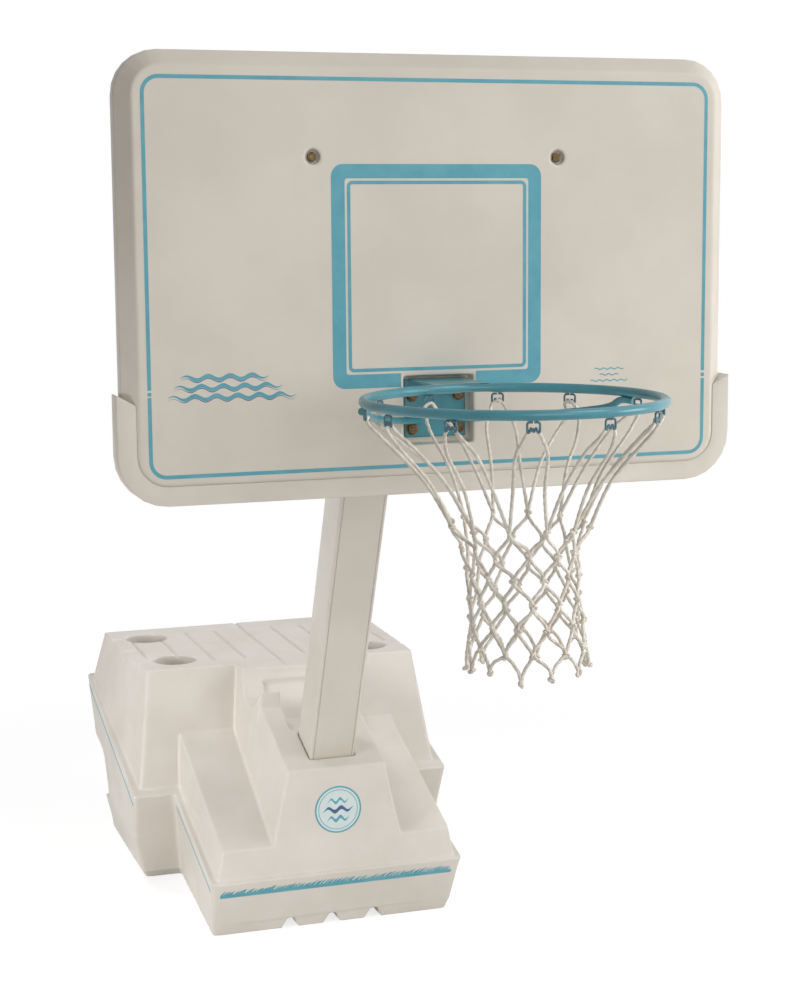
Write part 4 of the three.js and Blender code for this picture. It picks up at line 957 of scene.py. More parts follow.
@dataclass
class Base:
    """The moulded tank, its prints and its caps.

    Attributes:
        voxel_mm: The grain of the remeshed shell.
        smoothing: The passes that round its edges.
        most_faces: The faces that the shell keeps, at most.
        filler: The X, the height and the radius of the filler port at the back.
        drain: The same of the drain port.
        port_depth_mm: How deep a port goes before it is closed.
        wall_ease: How far the front walls move out, in metres.
        notch_ease: How far the foot notches move up, in metres.
        wall_zone: What is further out than the first, nearer than the second and lower than the third is a wall.
        notch_zone: What is further in than the first, nearer than the second and as high as the third is a notch.
        front_y: A plane in front of the tank, from which prints are laid on it.
        stripe_low: The height of the front stripe.
        stripe_solid: The width of its solid line.
        stripe_half: Half its length.
        pinstripe: The width of the lines along the sides.
        pin_drop: How far these run under the lip.
        badge_at: The badge's middle, as X and height.
        badge_radius: Its radius.
        skin: The tank's skin, once it is built.
    """

    voxel_mm: float = 2.6
    smoothing: int = 2
    most_faces: int = 170_000
    filler: Triple = (-205.0, 438.0, 26.0)
    drain: Triple = (205.0, 40.0, 18.5)
    port_depth_mm: float = 18.0
    wall_ease: float = 0.004
    notch_ease: float = 0.004
    wall_zone: Triple = (0.25, -0.135, 0.26)
    notch_zone: Triple = (0.14, -0.25, 0.02)
    front_y: float = -470.0
    stripe_low: float = 97.0
    stripe_solid: float = 8.0
    stripe_half: float = 256.0
    pinstripe: float = 6.6
    pin_drop: float = 25.0
    badge_at: Pair = (1.0, 266.0)
    badge_radius: float = 51.0
    skin: BVHTree | None = None

    def build(self) -> None:
        """Build and dress all that stands on the deck, apart from the pole."""
        shell = moulded(self.outer_skin(), "tank_moulding", self.voxel_mm, self.smoothing, self.most_faces)
        dress(shell, Body.BASE, TANK, ["base_tank"])
        self.skin = BVHTree.FromObject(shell, bpy.context.evaluated_depsgraph_get())
        for piece, ink in ((self.front_stripe(), TEAL_INK), (self.pinstripes(), TEAL_INK), *self.badge()):
            dress(piece, Body.BASE, ink)
        for node, name, body, grain, most in (
                ("fill_cap", "filler_cap", Body.FILL_CAP, 0.9, 40_000),
                ("drain_plug", "drain_stopper", Body.DRAIN_PLUG, 0.7, 30_000)):
            dress(moulded(merged_copy(node), name, grain, 2, most), body, TEAL_PLASTIC, [node])

    def outer_skin(self) -> Skin:
        """Take the tank's outer skin, with its ports closed a little way in.

        Returns:
            The skin as a bmesh.
        """
        work = merged_copy("base_tank")
        doomed = [face for x, z, radius in (self.filler, self.drain) for face in work.faces
                  if all(math.hypot(v.co.x - x * MM, v.co.z - z * MM) < radius * MM and v.co.y > 0.3
                         for v in face.verts)]
        bmesh.ops.delete(work, geom=doomed, context="FACES")
        island = self.island_of(max(work.verts, key=lambda v: v.co.z))
        bmesh.ops.delete(work, geom=[v for v in work.verts if v not in island], context="VERTS")
        rims = [e for e in work.edges if e.is_boundary]
        walls = bmesh.ops.extrude_edge_only(work, edges=rims)["geom"]
        for vert in (v for v in walls if isinstance(v, bmesh.types.BMVert)):
            vert.co.y -= self.port_depth_mm * MM
        ends = [e for e in walls if isinstance(e, bmesh.types.BMEdge) and e.is_boundary]
        bmesh.ops.holes_fill(work, edges=ends, sides=0)
        bmesh.ops.recalc_face_normals(work, faces=work.faces)
        self.ease(work)
        return work

    def ease(self, work: Skin) -> None:
        """Move what the rounding would draw in: the front walls out, the foot notches up.

        Args:
            work: The skin.
        """
        out, near, high = self.wall_zone
        inside, front, level = self.notch_zone
        for place in (vert.co for vert in work.verts):
            if abs(place.x) > out and place.y < near and place.z < high:
                place.x += math.copysign(self.wall_ease, place.x)
            if abs(place.x) < inside and place.y < front and abs(place.z - level) < MM:
                place.z += self.notch_ease

    @staticmethod
    def island_of(start: bmesh.types.BMVert) -> set:
        """Find all that is joined to a corner.

        Args:
            start: The corner.

        Returns:
            The corners that are joined to it.
        """
        found = {start}
        left = [start]
        while left:
            vert = left.pop()
            for edge in vert.link_edges:
                other = edge.other_vert(vert)
                if other not in found:
                    found.add(other)
                    left.append(other)
        return found

    def before(self, x: float, z: float) -> Vector:
        """Find a place in front of the tank, in metres."""
        return Vector((x, self.front_y, z)) * MM

    def draped(
        self, name: str, rows: Sequence[Sequence[Vector]], stand: float = 0.35, toward: Vector = REARWARD
    ) -> Thing:
        """Lay a grid of places on the tank's skin as a thin film of ink.

        Args:
            name: The piece's name.
            rows: The places, in metres, before they are laid on.
            stand: How far the ink stands off the skin, in millimetres.
            toward: The way from a place to the skin.

        Returns:
            The object.
        """
        outer: list[Vector] = []
        inner: list[Vector] = []
        for place in (place for row in rows for place in row):
            hit, normal, _, _ = self.skin.ray_cast(place - toward * 0.2, toward)
            if hit is None:
                hit, normal = place, -toward
            outer.append(hit + normal * stand * MM)
            inner.append(hit - normal * 0.6 * MM)
        wide = len(rows[0])
        starts = [i * wide + j for i in range(len(rows) - 1) for j in range(wide - 1)]
        quads = [(a, a + 1, a + wide + 1, a + wide) for a in starts]
        return outward(new_piece(name, outer + inner, slab(quads, len(outer)), 60))

    def front_stripe(self) -> Thing:
        """Print the stripe with leaning blades along its top.

        Returns:
            The object.
        """
        rows = [[self.before(-self.stripe_half + self.stripe_half * i / 160, z) for i in range(321)]
                for z in (self.stripe_low, self.stripe_low + self.stripe_solid)]
        made = [self.draped("stripe_line", rows)]
        draw = random.Random(11)
        x = -self.stripe_half + 2
        while x < self.stripe_half - 9:
            made.append(self.blade(x, draw))
            x += draw.uniform(4.6, 8.2)
        return joined("tank_front_stripe", made)

    def blade(self, foot: float, draw: random.Random) -> Thing:
        """Print one blade that curls over to the right.

        Args:
            foot: Where it grows from, in millimetres.
            draw: The source of its size and lean.

        Returns:
            The object.
        """
        length = draw.uniform(12.0, 19.0)
        start = math.radians(draw.uniform(44, 70))
        end = math.radians(draw.uniform(12, 38))
        wide = draw.uniform(3.2, 4.6)
        place = Vector((foot, self.stripe_low + self.stripe_solid - 1.5))
        sides: tuple[list[Vector], list[Vector]] = ([], [])
        steps = 7
        for i in range(steps + 1):
            share = i / steps
            angle = start + (end - start) * share
            across = Vector((-math.sin(angle), math.cos(angle))) * wide / 2 * (1 - share ** 1.7 * 0.94)
            for row, way in zip(sides, (1, -1)):
                spot = place + across * way
                row.append(self.before(min(spot.x, self.stripe_half), spot.y))
            place = place + Vector((math.cos(angle), math.sin(angle))) * length / steps
        return self.draped("stripe_blade", sides, 0.6)

    @staticmethod
    def lip(y: float) -> float:
        """Find the height of the lip along a side, in millimetres."""
        return 132 + (y + 486) * 0.2754

    def pinstripes(self) -> Thing:
        """Print the thin lines under the lip, along both sides.

        Returns:
            The object.
        """
        made = []
        for side in (-1, 1):
            for name, first, last, x in (("wing", -463, -140, 420), ("block", -114, 436, 480)):
                along = [first + (last - first) * i / 160 for i in range(161)]
                rows = [[Vector((side * x, y, self.lip(y) - self.pin_drop + edge * self.pinstripe)) * MM
                         for y in along] for edge in (-0.5, 0.5)]
                made.append(self.draped(f"pin_{name}_{side}", rows, toward=Vector((-side, 0, 0))))
        return joined("tank_pinstripes", made)

    def badge(self) -> list[tuple[Thing, Finish]]:
        """Print a round badge with waves on the middle of the front.

        Returns:
            The pieces, each with its ink.
        """
        mid_x, mid_z = self.badge_at

        def ring(inner: float, outer: float, stand: float) -> Thing:
            """Print a ring between two shares of the badge's radius.

            Args:
                inner: The share of its inside.
                outer: The share of its outside.
                stand: How far the ink stands off.

            Returns:
                The object.
            """
            rows = [[self.before(mid_x + self.badge_radius * share * math.cos(a),
                                 mid_z + self.badge_radius * share * math.sin(a)) for a in full_turn(72, 1)]
                    for share in (inner, (inner + outer) / 2, outer)]
            return self.draped("badge_ring", rows, stand)

        def wave(middle: float, half: float, width: float) -> Thing:
            """Print a wave that thins out to its ends.

            Args:
                middle: How far it is above the badge's middle.
                half: Half its length.
                width: Its width in the middle.

            Returns:
                The object.
            """
            shares = [2 * i / 60 - 1 for i in range(61)]
            rows = [[self.before(mid_x + half * share, mid_z + (
                middle + (4.2 * math.sin(2.4 * math.pi * share) + edge * width * (1 - share * share))))
                for share in shares] for edge in (-0.5, 0.5)]
            return self.draped("badge_wave", rows, 0.5)

        pale = ring(0.02, 0.97, 0.3)
        lines = joined("badge_lines", [
            ring(0.93, 1.0, 0.45), ring(0.82, 0.85, 0.45), wave(19, 24, 7), wave(-20, 25, 8)])
        dark = wave(0, 34, 9)
        dark.name = "badge_middle_wave"
        return [(pale, PALE_INK), (lines, TEAL_INK), (dark, NAVY_INK)]


# Section: pole


@dataclass
class Pole:
    """The square tube with a folded seam beside each front corner.

    Attributes:
        lean: How far it leans from upright.
        foot: Where its axis meets the base, in millimetres.
        half: Half its width.
        corner: The radius of its corners.
        wall: The thickness of its wall.
        low: Where it starts, along its axis from the foot.
        high: Where it ends.
        seam_width: The width of a seam's groove.
        seam_depth: Its depth.
        seam_from_corner: How far it is from the corner.
    """

    lean: float = math.radians(22.7)
    foot: Triple = (0.0, -398.0, 388.39)
    half: float = 49.0
    corner: float = 5.0
    wall: float = 3.0
    low: float = -360.0
    high: float = 1009.8
    seam_width: float = 1.6
    seam_depth: float = 1.4
    seam_from_corner: float = 7.0

    def place(self, across: float, back: float, along: float) -> Vector:
        """Find a place from its offsets from the foot.

        Args:
            across: How far it is to the right of the axis.
            back: How far it is behind the axis.
            along: How far it is up the axis.

        Returns:
            The place, in metres.
        """
        y = self.foot[1] + back * math.cos(self.lean) - along * math.sin(self.lean)
        z = self.foot[2] + back * math.sin(self.lean) + along * math.cos(self.lean)
        return Vector((across, y, z)) * MM

    def outline(self) -> list[Pair]:
        """Draw the tube's outside, with its seams, from above.

        Returns:
            Its corners, anticlockwise.
        """
        reach = self.half - self.corner
        points: list[Pair] = []
        for cx, cy, start in ((reach, reach, 0), (-reach, reach, 90), (-reach, -reach, 180), (reach, -reach, 270)):
            for i in range(7):
                angle = math.radians(start + 15 * i)
                points.append((cx + self.corner * math.cos(angle), cy + self.corner * math.sin(angle)))
            if start == 180:
                points.extend([*self.seam(-1), *self.seam(1)])
        return points

    def seam(self, side: int) -> list[Pair]:
        """Draw a narrow groove in the front face beside a corner.

        Args:
            side: -1 for the left corner, 1 for the right.

        Returns:
            Its corners, from left to right.
        """
        middle = side * (self.half - self.seam_from_corner)
        reach = self.seam_width / 2
        deep = -self.half + self.seam_depth
        return [(middle - reach, -self.half), (middle - reach * 0.6, deep),
                (middle + reach * 0.6, deep), (middle + reach, -self.half)]

    def build(self) -> None:
        """Build and dress the tube and its cap."""
        outside = self.outline()
        count = len(outside)
        rings = [[self.place(x, y, along) for x, y in outside]
                 for along in (self.low, 0.0, self.high * 0.5, self.high)]
        points, faces = loft(rings, capped=False)
        inner = self.half - self.wall
        shrunk = [(max(-inner, min(inner, x)), max(-inner, min(inner, y))) for x, y in outside]
        first = len(points)
        for along in (self.low, self.high):
            points.extend(self.place(x, y, along) for x, y in shrunk)
        top = first - count
        for i in range(count):
            j = (i + 1) % count
            faces.append((first + j, first + i, first + count + i, first + count + j))
            faces.append((j, i, first + i, first + j))
            faces.append((top + i, top + j, first + count + j, first + count + i))
        tube = outward(new_piece("pole_tube", points, faces, 30))
        dress(tube, Body.BASE, POLE_PAINT, ["pole"])
        dress(softened("pole_cap", "pole_end_cap", 1.5), Body.BASE, RUBBER, ["pole_cap"])


# Section: small hardware


@dataclass(frozen=True)
class HexBolt:
    """A hex bolt with a chamfered head on a washer.

    Attributes:
        radius: Its shank's radius, in millimetres.
        length: Its shank's length.
        washer: The washer's radius, as a share of the shank's.
    """

    radius: float
    length: float
    washer: float

    def ring(self, radius: float, depth: float, hexagon: bool = False) -> list[Vector]:
        """Draw a ring round the bolt's axis, which runs along +Y into the board.

        Args:
            radius: The radius, or half the width across flats.
            depth: Its place along the axis.
            hexagon: True for a hexagon.

        Returns:
            Its places, in metres.
        """
        made = []
        for angle in full_turn(24):
            reach = radius
            if hexagon:
                reach = radius / math.cos((angle + math.pi / 6) % (math.pi / 3) - math.pi / 6)
            made.append(Vector((reach * math.cos(angle), depth, reach * math.sin(angle))) * MM)
        return made

    def shape(self, name: str) -> Thing:
        """Build the bolt with its seat at the origin.

        Args:
            name: The piece's name.

        Returns:
            The object.
        """
        flat = self.radius * 1.6
        head = self.radius * 1.3
        thick = self.radius * 0.3
        wide = self.radius * self.washer
        profile = (
            (flat * 0.55, -head + 0.5), (flat * 0.62, -head), (flat * 0.93, -head), (flat, -head + 0.7, True),
            (flat, -thick, True), (wide - 0.4, -thick), (wide, -thick + 0.3), (wide, 0.0),
            (self.radius, 0.0), (self.radius, self.length - 0.8), (self.radius - 0.8, self.length))
        return outward(new_piece(name, *loft([self.ring(*step) for step in profile]), 25))


def set_bolts(
    name: str, radius: float, washer: float, seat: float, places: Iterable[Pair], nodes: Sequence[str], seed: int
) -> None:
    """Set hex bolts in the board, as long as the CAD's, and dress them as one piece.

    Args:
        name: The piece's name.
        radius: The radius of their shanks, in millimetres.
        washer: The radius of their washers, as a share of the shank's.
        seat: Where their washers sit, along Y.
        places: Where they are, as X and height.
        nodes: The CAD nodes that they replace.
        seed: The seed of what the scatter draws.
    """
    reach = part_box(nodes[0])[1][1] / MM
    shape = HexBolt(radius, reach - seat, washer).shape(name + "_shape")
    made = Scatter(seed).place(name, shape, [Vector((x, seat, z)) * MM for x, z in places], BRASSY)
    dress(made, Body.BOARD, BRASSY, nodes)


@dataclass(frozen=True)
class Carried:
    """A CAD node that is copied with rounded edges.

    Attributes:
        node: The CAD node.
        name: The new piece.
        body: The body that it rides on.
        finish: Its finish.
        width: The width of its rounded edges, in millimetres.
        clamp: True where its edges stand close together.
    """

    node: str
    name: str
    body: Body
    finish: Finish
    width: float = 0.8
    clamp: bool = False

    def build(self) -> None:
        """Copy, round and dress the node."""
        piece = softened(self.node, self.name, self.width, clamp=self.clamp)
        dress(piece, self.body, self.finish, [self.node])


@dataclass
class Hardware:
    """The frame behind the board, the head of the pole and the release handle.

    Attributes:
        carried: The pieces that are copied with rounded edges.
        plain: The nodes that keep their CAD shape, each with its finish.
        pivot: The pivot of the lever, along Y and up.
    """

    carried: tuple[Carried, ...] = (
        *(Carried(f"head_plate_{side}", f"{side}_head_plate", Body.BASE, POLE_PAINT, 0.9)
          for side in SIDES),
        *(Carried(f"frame_upright_{side}", f"{side}_upright", Body.BOARD, POLE_PAINT, 1.6)
          for side in SIDES),
        Carried("frame_top_rail", "top_rail", Body.BOARD, POLE_PAINT, 1.6, True),
        Carried("frame_mount_plate", "mount_plate", Body.BOARD, POLE_PAINT, 0.9),
        *(Carried(f"frame_ear_{side}", f"{side}_ear", Body.BOARD, POLE_PAINT, 0.9) for side in SIDES),
        Carried("brake_quadrant", "quadrant_plate", Body.BOARD, ZINC, 0.6),
        Carried("brake_lining", "lever_lining", Body.LEVER, RUBBER, 0.5),
        Carried("release_lever", "lever_bar", Body.LEVER, ZINC, 0.8),
        Carried("handle_grip", "lever_grip", Body.LEVER, RUBBER, 2.0),
    )
    plain: tuple[tuple[str, Finish], ...] = (
        ("water_ballast", WATER), ("fill_cap_seal", RUBBER), ("drain_plug_seal", RUBBER),
        ("head_bolt_1", ZINC), ("head_bolt_2", ZINC), ("head_nut_1", ZINC), ("head_nut_2", ZINC),
        ("hinge_pin", ZINC), ("hinge_nut", ZINC), ("release_pin", ZINC), ("release_pin_nut", ZINC),
        *((f"board_nut_{side}", ZINC) for side in SIDES),
        *((f"bracket_nut_{side}_{level}", BRASSY) for side in SIDES for level in LEVELS),
    )
    pivot: Pair = (-905.194, 1274.917)

    def build(self) -> None:
        """Build and dress every piece of the hardware."""
        for piece in self.carried:
            piece.build()
        for node, finish in self.plain:
            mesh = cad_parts[node].data
            mesh.materials.clear()
            mesh.materials.append(finish.make())
            LOG.info("%s keeps its CAD shape", node)
        self.spring()

    def spring(self) -> None:
        """Wind the release spring round its pin."""
        thick, pitch, coils, steps, leg = 1.0, 3.2, 5, 24, Vector((0, 0, 26))
        radius = 6.3 / math.cos(math.pi / 8) + thick
        y, z = self.pivot
        coil = [Vector((5.3 + pitch * i / steps, y + radius * math.cos(a), z + radius * math.sin(a)))
                for i, a in enumerate(full_turn(steps, (coils - 1) * steps + 1))]
        line = [p * MM for p in [coil[0] - leg, *coil, coil[-1] + leg]]
        wire = SweptRod(8).sweep("lever_spring", [line], thick * MM, 1.2 * MM, ZINC)
        dress(wire, Body.BASE, ZINC, ["release_spring"])


# Section: board


@dataclass
class Board:
    """The moulded board with its prints, its lower edge and its bolts.

    Attributes:
        face_y: Where its front face is.
        bolt_x: How far its bolts are from the middle.
        bolt_z: Their height.
        border: Half the border's width, its low side and its high side.
        border_line: The width of the border's line.
        right_breaks: Where the line ends, starts, ends and starts on the right, going up.
        left_breaks: The same on the left.
        square: Half the square's width, its low side and its high side.
        square_line: The width of its thick line.
        square_gap: Half the gap in the middle of its low side.
    """

    face_y: float = -1125.0
    bolt_x: float = 222.0
    bolt_z: float = 1605.0
    border: Triple = (512.0, 1072.9, 1737.0)
    border_line: float = 6.5
    right_breaks: tuple[float, ...] = (1210.4, 1213.9, 1220.4, 1224.4)
    left_breaks: tuple[float, ...] = (1210.6, 1213.0, 1218.9, 1222.4)
    square: Triple = (191.0, 1213.6, 1593.4)
    square_line: float = 24.0
    square_gap: float = 69.0

    def build(self) -> None:
        """Build and dress the board."""
        board = moulded(merged_copy("backboard"), "board_moulding", 2.4, 3, 180_000)
        dress(board, Body.BOARD, BOARD, ["backboard"])
        dress(softened("edge_bumper", "lower_edge", 2.5, 3), Body.BOARD, BUMPER, ["edge_bumper"])
        for piece, ink in (
                (self.border_print(), TEAL_INK), (self.square_print(), TEAL_INK),
                (self.ripples("board_ripples", 0.0, 6.2, 0.25), TEAL_INK),
                (self.ripples("board_ripple_shades", -4.4, 1.5, 0.2), NAVY_INK), (self.small_ripples(), TEAL_INK)):
            dress(piece, Body.BOARD, ink)
        set_bolts("board_bolts", 4.6, 1.5, self.face_y + 9 - 0.3,
                  [(side * self.bolt_x, self.bolt_z) for side in (-1, 1)], [f"board_bolt_{side}" for side in SIDES], 3)

    def border_print(self) -> Thing:
        """Print the line round the board, broken twice on each side.

        Returns:
            The object.
        """
        ink = FlatPrint(self.face_y)
        half, low, high = self.border
        inset = self.border_line / 2
        x = half - inset
        path = rounded_path(x, low + inset, high - inset, 27)
        right, left = self.right_breaks, self.left_breaks
        over = [p for p in path if p.y > 1228]
        before = [p for p in path if p.y < 1206 and p.x >= 0]
        after = [p for p in path if p.y < 1206 and p.x < 0]
        for line in (
                [(x, right[3]), *over, (-x, left[3])], [(-x, left[0]), *after, *before, (x, right[0])],
                [(x, right[1]), (x, right[2])], [(-x, left[1]), (-x, left[2])]):
            ink.line([Vector(place) for place in line], self.border_line)
        return ink.make("board_border")

    def square_print(self) -> Thing:
        """Print the square above the ring: a thick line and a thin one inside it.

        Returns:
            The object.
        """
        ink = FlatPrint(self.face_y)
        half, low, high = self.square
        thick, cut = self.square_line, self.square_gap
        outer = rounded_path(half, low, high, 21)
        inner = rounded_path(half - thick, low + thick, high - thick, 5)
        kept = [(o, i) for o, i in zip(outer, inner) if o.y > 1230 or min(abs(o.x), abs(i.x)) > cut + 1]
        first, last = ((Vector((x, low)), Vector((x, low + thick))) for x in (cut, -cut))
        ink.add(*band(*zip(first, *kept, last), closed=False))
        inset = thick + 4.4 + 2.5
        ink.line(rounded_path(half - inset, low + inset, high - inset, 7), 6, closed=True)
        return ink.make("board_target")

    @staticmethod
    def ripple(first: float, last: float, z: float, waves: float, swing: float) -> list[Vector]:
        """Draw one rippled line from left to right.

        Args:
            first: Where it starts.
            last: Where it ends.
            z: Its height.
            waves: The waves along it.
            swing: How far it rises and falls.

        Returns:
            The places as (x, z) vectors.
        """
        count = 90
        return [Vector((first + (last - first) * i / count, z + swing * math.sin(2 * math.pi * waves * i / count)))
                for i in range(count + 1)]

    def ripples(self, name: str, lift: float, width: float, stand: float) -> Thing:
        """Print rippled lines low on the board's left.

        Args:
            name: The piece's name.
            lift: How far they stand above their middle lines.
            width: Their width.
            stand: How far the ink stands off the board.

        Returns:
            The object.
        """
        ink = FlatPrint(self.face_y, stand)
        for k in range(3):
            path = self.ripple(-478 + 11 * k, -257 - 24 * k, 1208 + 16.5 * k + lift, 6 - k, 3.4)
            count = len(path) - 1
            halves = [Vector((0, width / 2 * min(1.0, 0.12 + 6 * min(i, count - i) / count)))
                      for i in range(count + 1)]
            ink.add(*band([p + h for p, h in zip(path, halves)], [p - h for p, h in zip(path, halves)], closed=False))
        return ink.make(name)

    def small_ripples(self) -> Thing:
        """Print three short fine ripples low on the board's right.

        Returns:
            The object.
        """
        ink = FlatPrint(self.face_y)
        for half, z in ((28, 1233.5), (18, 1223.0), (36, 1212.5)):
            ink.line(self.ripple(323 - half, 323 + half, z, half / 7, 1.3), 1.9)
        return ink.make("board_small_ripples")


# Section: ring and net


def shift(draw: random.Random, most: float) -> Vector:
    """Draw a small shift along each axis."""
    return Vector([draw.uniform(-1, 1) for _ in range(3)]) * most


@dataclass
class Ring:
    """The ring, its bracket, its braces and its hooks.

    Attributes:
        centre_y: Where its middle is, along Y.
        height: The height of its rod's middle.
        radius: The radius of the ring.
        rod: The radius of its rod.
        thin_rod: The radius where it passes behind the flange.
        brace_angle: Where a brace meets it, from the side nearest the pool.
        brace_rod: The radius of a brace.
        hook_wire: The radius of a hook's wire.
        hook_count: The number of hooks.
        hook_half: Half a hook's width.
        hook_drop: How far a hook hangs down.
        weld: What a weld leaves open.
        bracket_y: Where the front face of its bracket is.
        bolt_x: How far the bracket's bolts are from the middle.
        bolt_drops: How far they are below the ring, the low ones first.
    """

    centre_y: float = -1476.7
    height: float = 1218.0
    radius: float = 236.6
    rod: float = 8.0
    thin_rod: float = 6.7
    brace_angle: float = math.radians(107)
    brace_rod: float = 6.0
    hook_wire: float = 1.8
    hook_count: int = 12
    hook_half: float = 11.2
    hook_drop: float = 19.5
    weld: float = 0.3
    bracket_y: float = -1105.3
    bolt_x: float = 42.8
    bolt_drops: Pair = (80.0, 22.0)

    def at(self, angle: float, radius: float, z: float) -> Vector:
        """Find a place from its angle (0 is nearest the pool), radius and height, in millimetres."""
        return Vector((radius * math.sin(angle), self.centre_y - radius * math.cos(angle), z))

    def build(self) -> None:
        """Build and dress the ring and all that is welded or bolted to it."""
        dress(self.hoop(), Body.BOARD, TEAL_ENAMEL, ["rim_ring"])
        bracket = moulded(merged_copy("rim_bracket"), "ring_bracket", 1.1, 3, 70_000)
        dress(bracket, Body.BOARD, TEAL_ENAMEL, ["rim_bracket"])
        for way, side in zip((-1, 1), SIDES):
            piece = self.brace(way, f"ring_brace_{side}")
            dress(piece, Body.BOARD, TEAL_ENAMEL, [f"rim_brace_{side}"])
        hooks = [f"net_hook_{i + 1}" for i in range(self.hook_count)]
        # The hooks' enamel is darker than the ring's as painted shade under the ring.
        dress(self.hooks(), Body.BOARD, WIRE_ENAMEL_PAINTED_SHADE, hooks)
        nodes = [f"bracket_bolt_{side}_{level}" for side in SIDES for level in LEVELS]
        places = [(side * self.bolt_x, self.height - drop) for side in (-1, 1) for drop in self.bolt_drops]
        set_bolts("bracket_bolts", 5.0, 2.1, self.bracket_y - self.weld, places, nodes, 4)

    def hoop(self) -> Thing:
        """Bend the rod to a ring; it is drawn thinner where it passes behind the flange.

        Returns:
            The object.
        """
        rings = []
        for angle in full_turn(192):
            from_seam = math.degrees(math.pi - angle)
            rod = self.rod
            if 0.0 <= from_seam <= 16.0:
                rod = self.thin_rod + (self.rod - self.thin_rod) * max(0.0, (from_seam - 11) / 5)
            rings.append([self.at(angle, self.radius + rod * math.cos(a), self.height + rod * math.sin(a)) * MM
                          for a in full_turn(20)])
        return outward(new_piece("ring_hoop", *loft(rings, closed=True), 180))

    def brace(self, side: int, name: str) -> Thing:
        """Bend the rod from under the ring to the bracket's face.

        Args:
            side: -1 for the left, 1 for the right.
            name: The piece's name.

        Returns:
            The object.
        """
        under = self.height - self.rod - self.weld - self.brace_rod
        start = self.at(side * self.brace_angle, self.radius, under)
        foot = Vector((side * 30.0, self.bracket_y, self.height - 66))
        inset = 24 / (start - foot).length
        low = under - 15

        def along(share: float, z: float) -> Vector:
            """Find a place on the way to the foot, at a height."""
            point = start.lerp(foot, share)
            return Vector((point.x, point.y, z))

        middle = Vector(((start.x + foot.x) / 2, (start.y + foot.y) / 2, (low + foot.z) / 2))
        points = [along(-0.5 * inset, under), along(0.5 * inset, under), along(2 * inset, low), middle, foot]
        line = [p * MM for p in smooth_line(points, 4.0)]
        return SweptRod(16).sweep(name, [line], self.brace_rod * MM, 4 * MM, TEAL_ENAMEL)

    def hook_angle(self, index: int) -> float:
        """Find a hook's angle; the hooks beside a brace's end stand aside.

        Args:
            index: The hook's number.

        Returns:
            The angle, from minus to plus half a turn.
        """
        angle = 2 * math.pi * (index + 0.5) / self.hook_count
        signed = angle - 2 * math.pi if angle > math.pi else angle
        if abs(abs(signed) - self.brace_angle) < math.radians(5):
            signed -= math.copysign(math.radians(5), signed)
        return signed

    def hooks(self) -> Thing:
        """Bend the wire loops under the ring.

        Returns:
            The object.
        """
        top = self.height - self.rod - self.weld - self.hook_wire
        low = top - self.hook_drop + 2 * self.hook_wire
        half = self.hook_half - self.hook_wire
        shares = ((0.1, 1.0), (0.72, 1.0), (0.98, 0.84), (1.0, 0.5), (0.98, 0.18), (0.8, 0.0), (0.58, 0.2), (0.38, 0.5))
        right = [(half * a, low + (top - low) * b) for a, b in shares]
        outline = [*right, (0.0, low + (top - low) * 0.1), *[(-x, z) for x, z in reversed(right)]]
        lines = []
        for index in range(self.hook_count):
            angle = self.hook_angle(index)
            across = Vector((math.cos(angle), math.sin(angle), 0))
            points = [self.at(angle, self.radius, z) + across * x for x, z in outline]
            lines.append([p * MM for p in smooth_line(points, 1.5)])
        # The wire's darker enamel is painted shade under the ring.
        return SweptRod(10).sweep("net_hooks", lines, self.hook_wire * MM, 1.5 * MM, WIRE_ENAMEL_PAINTED_SHADE)


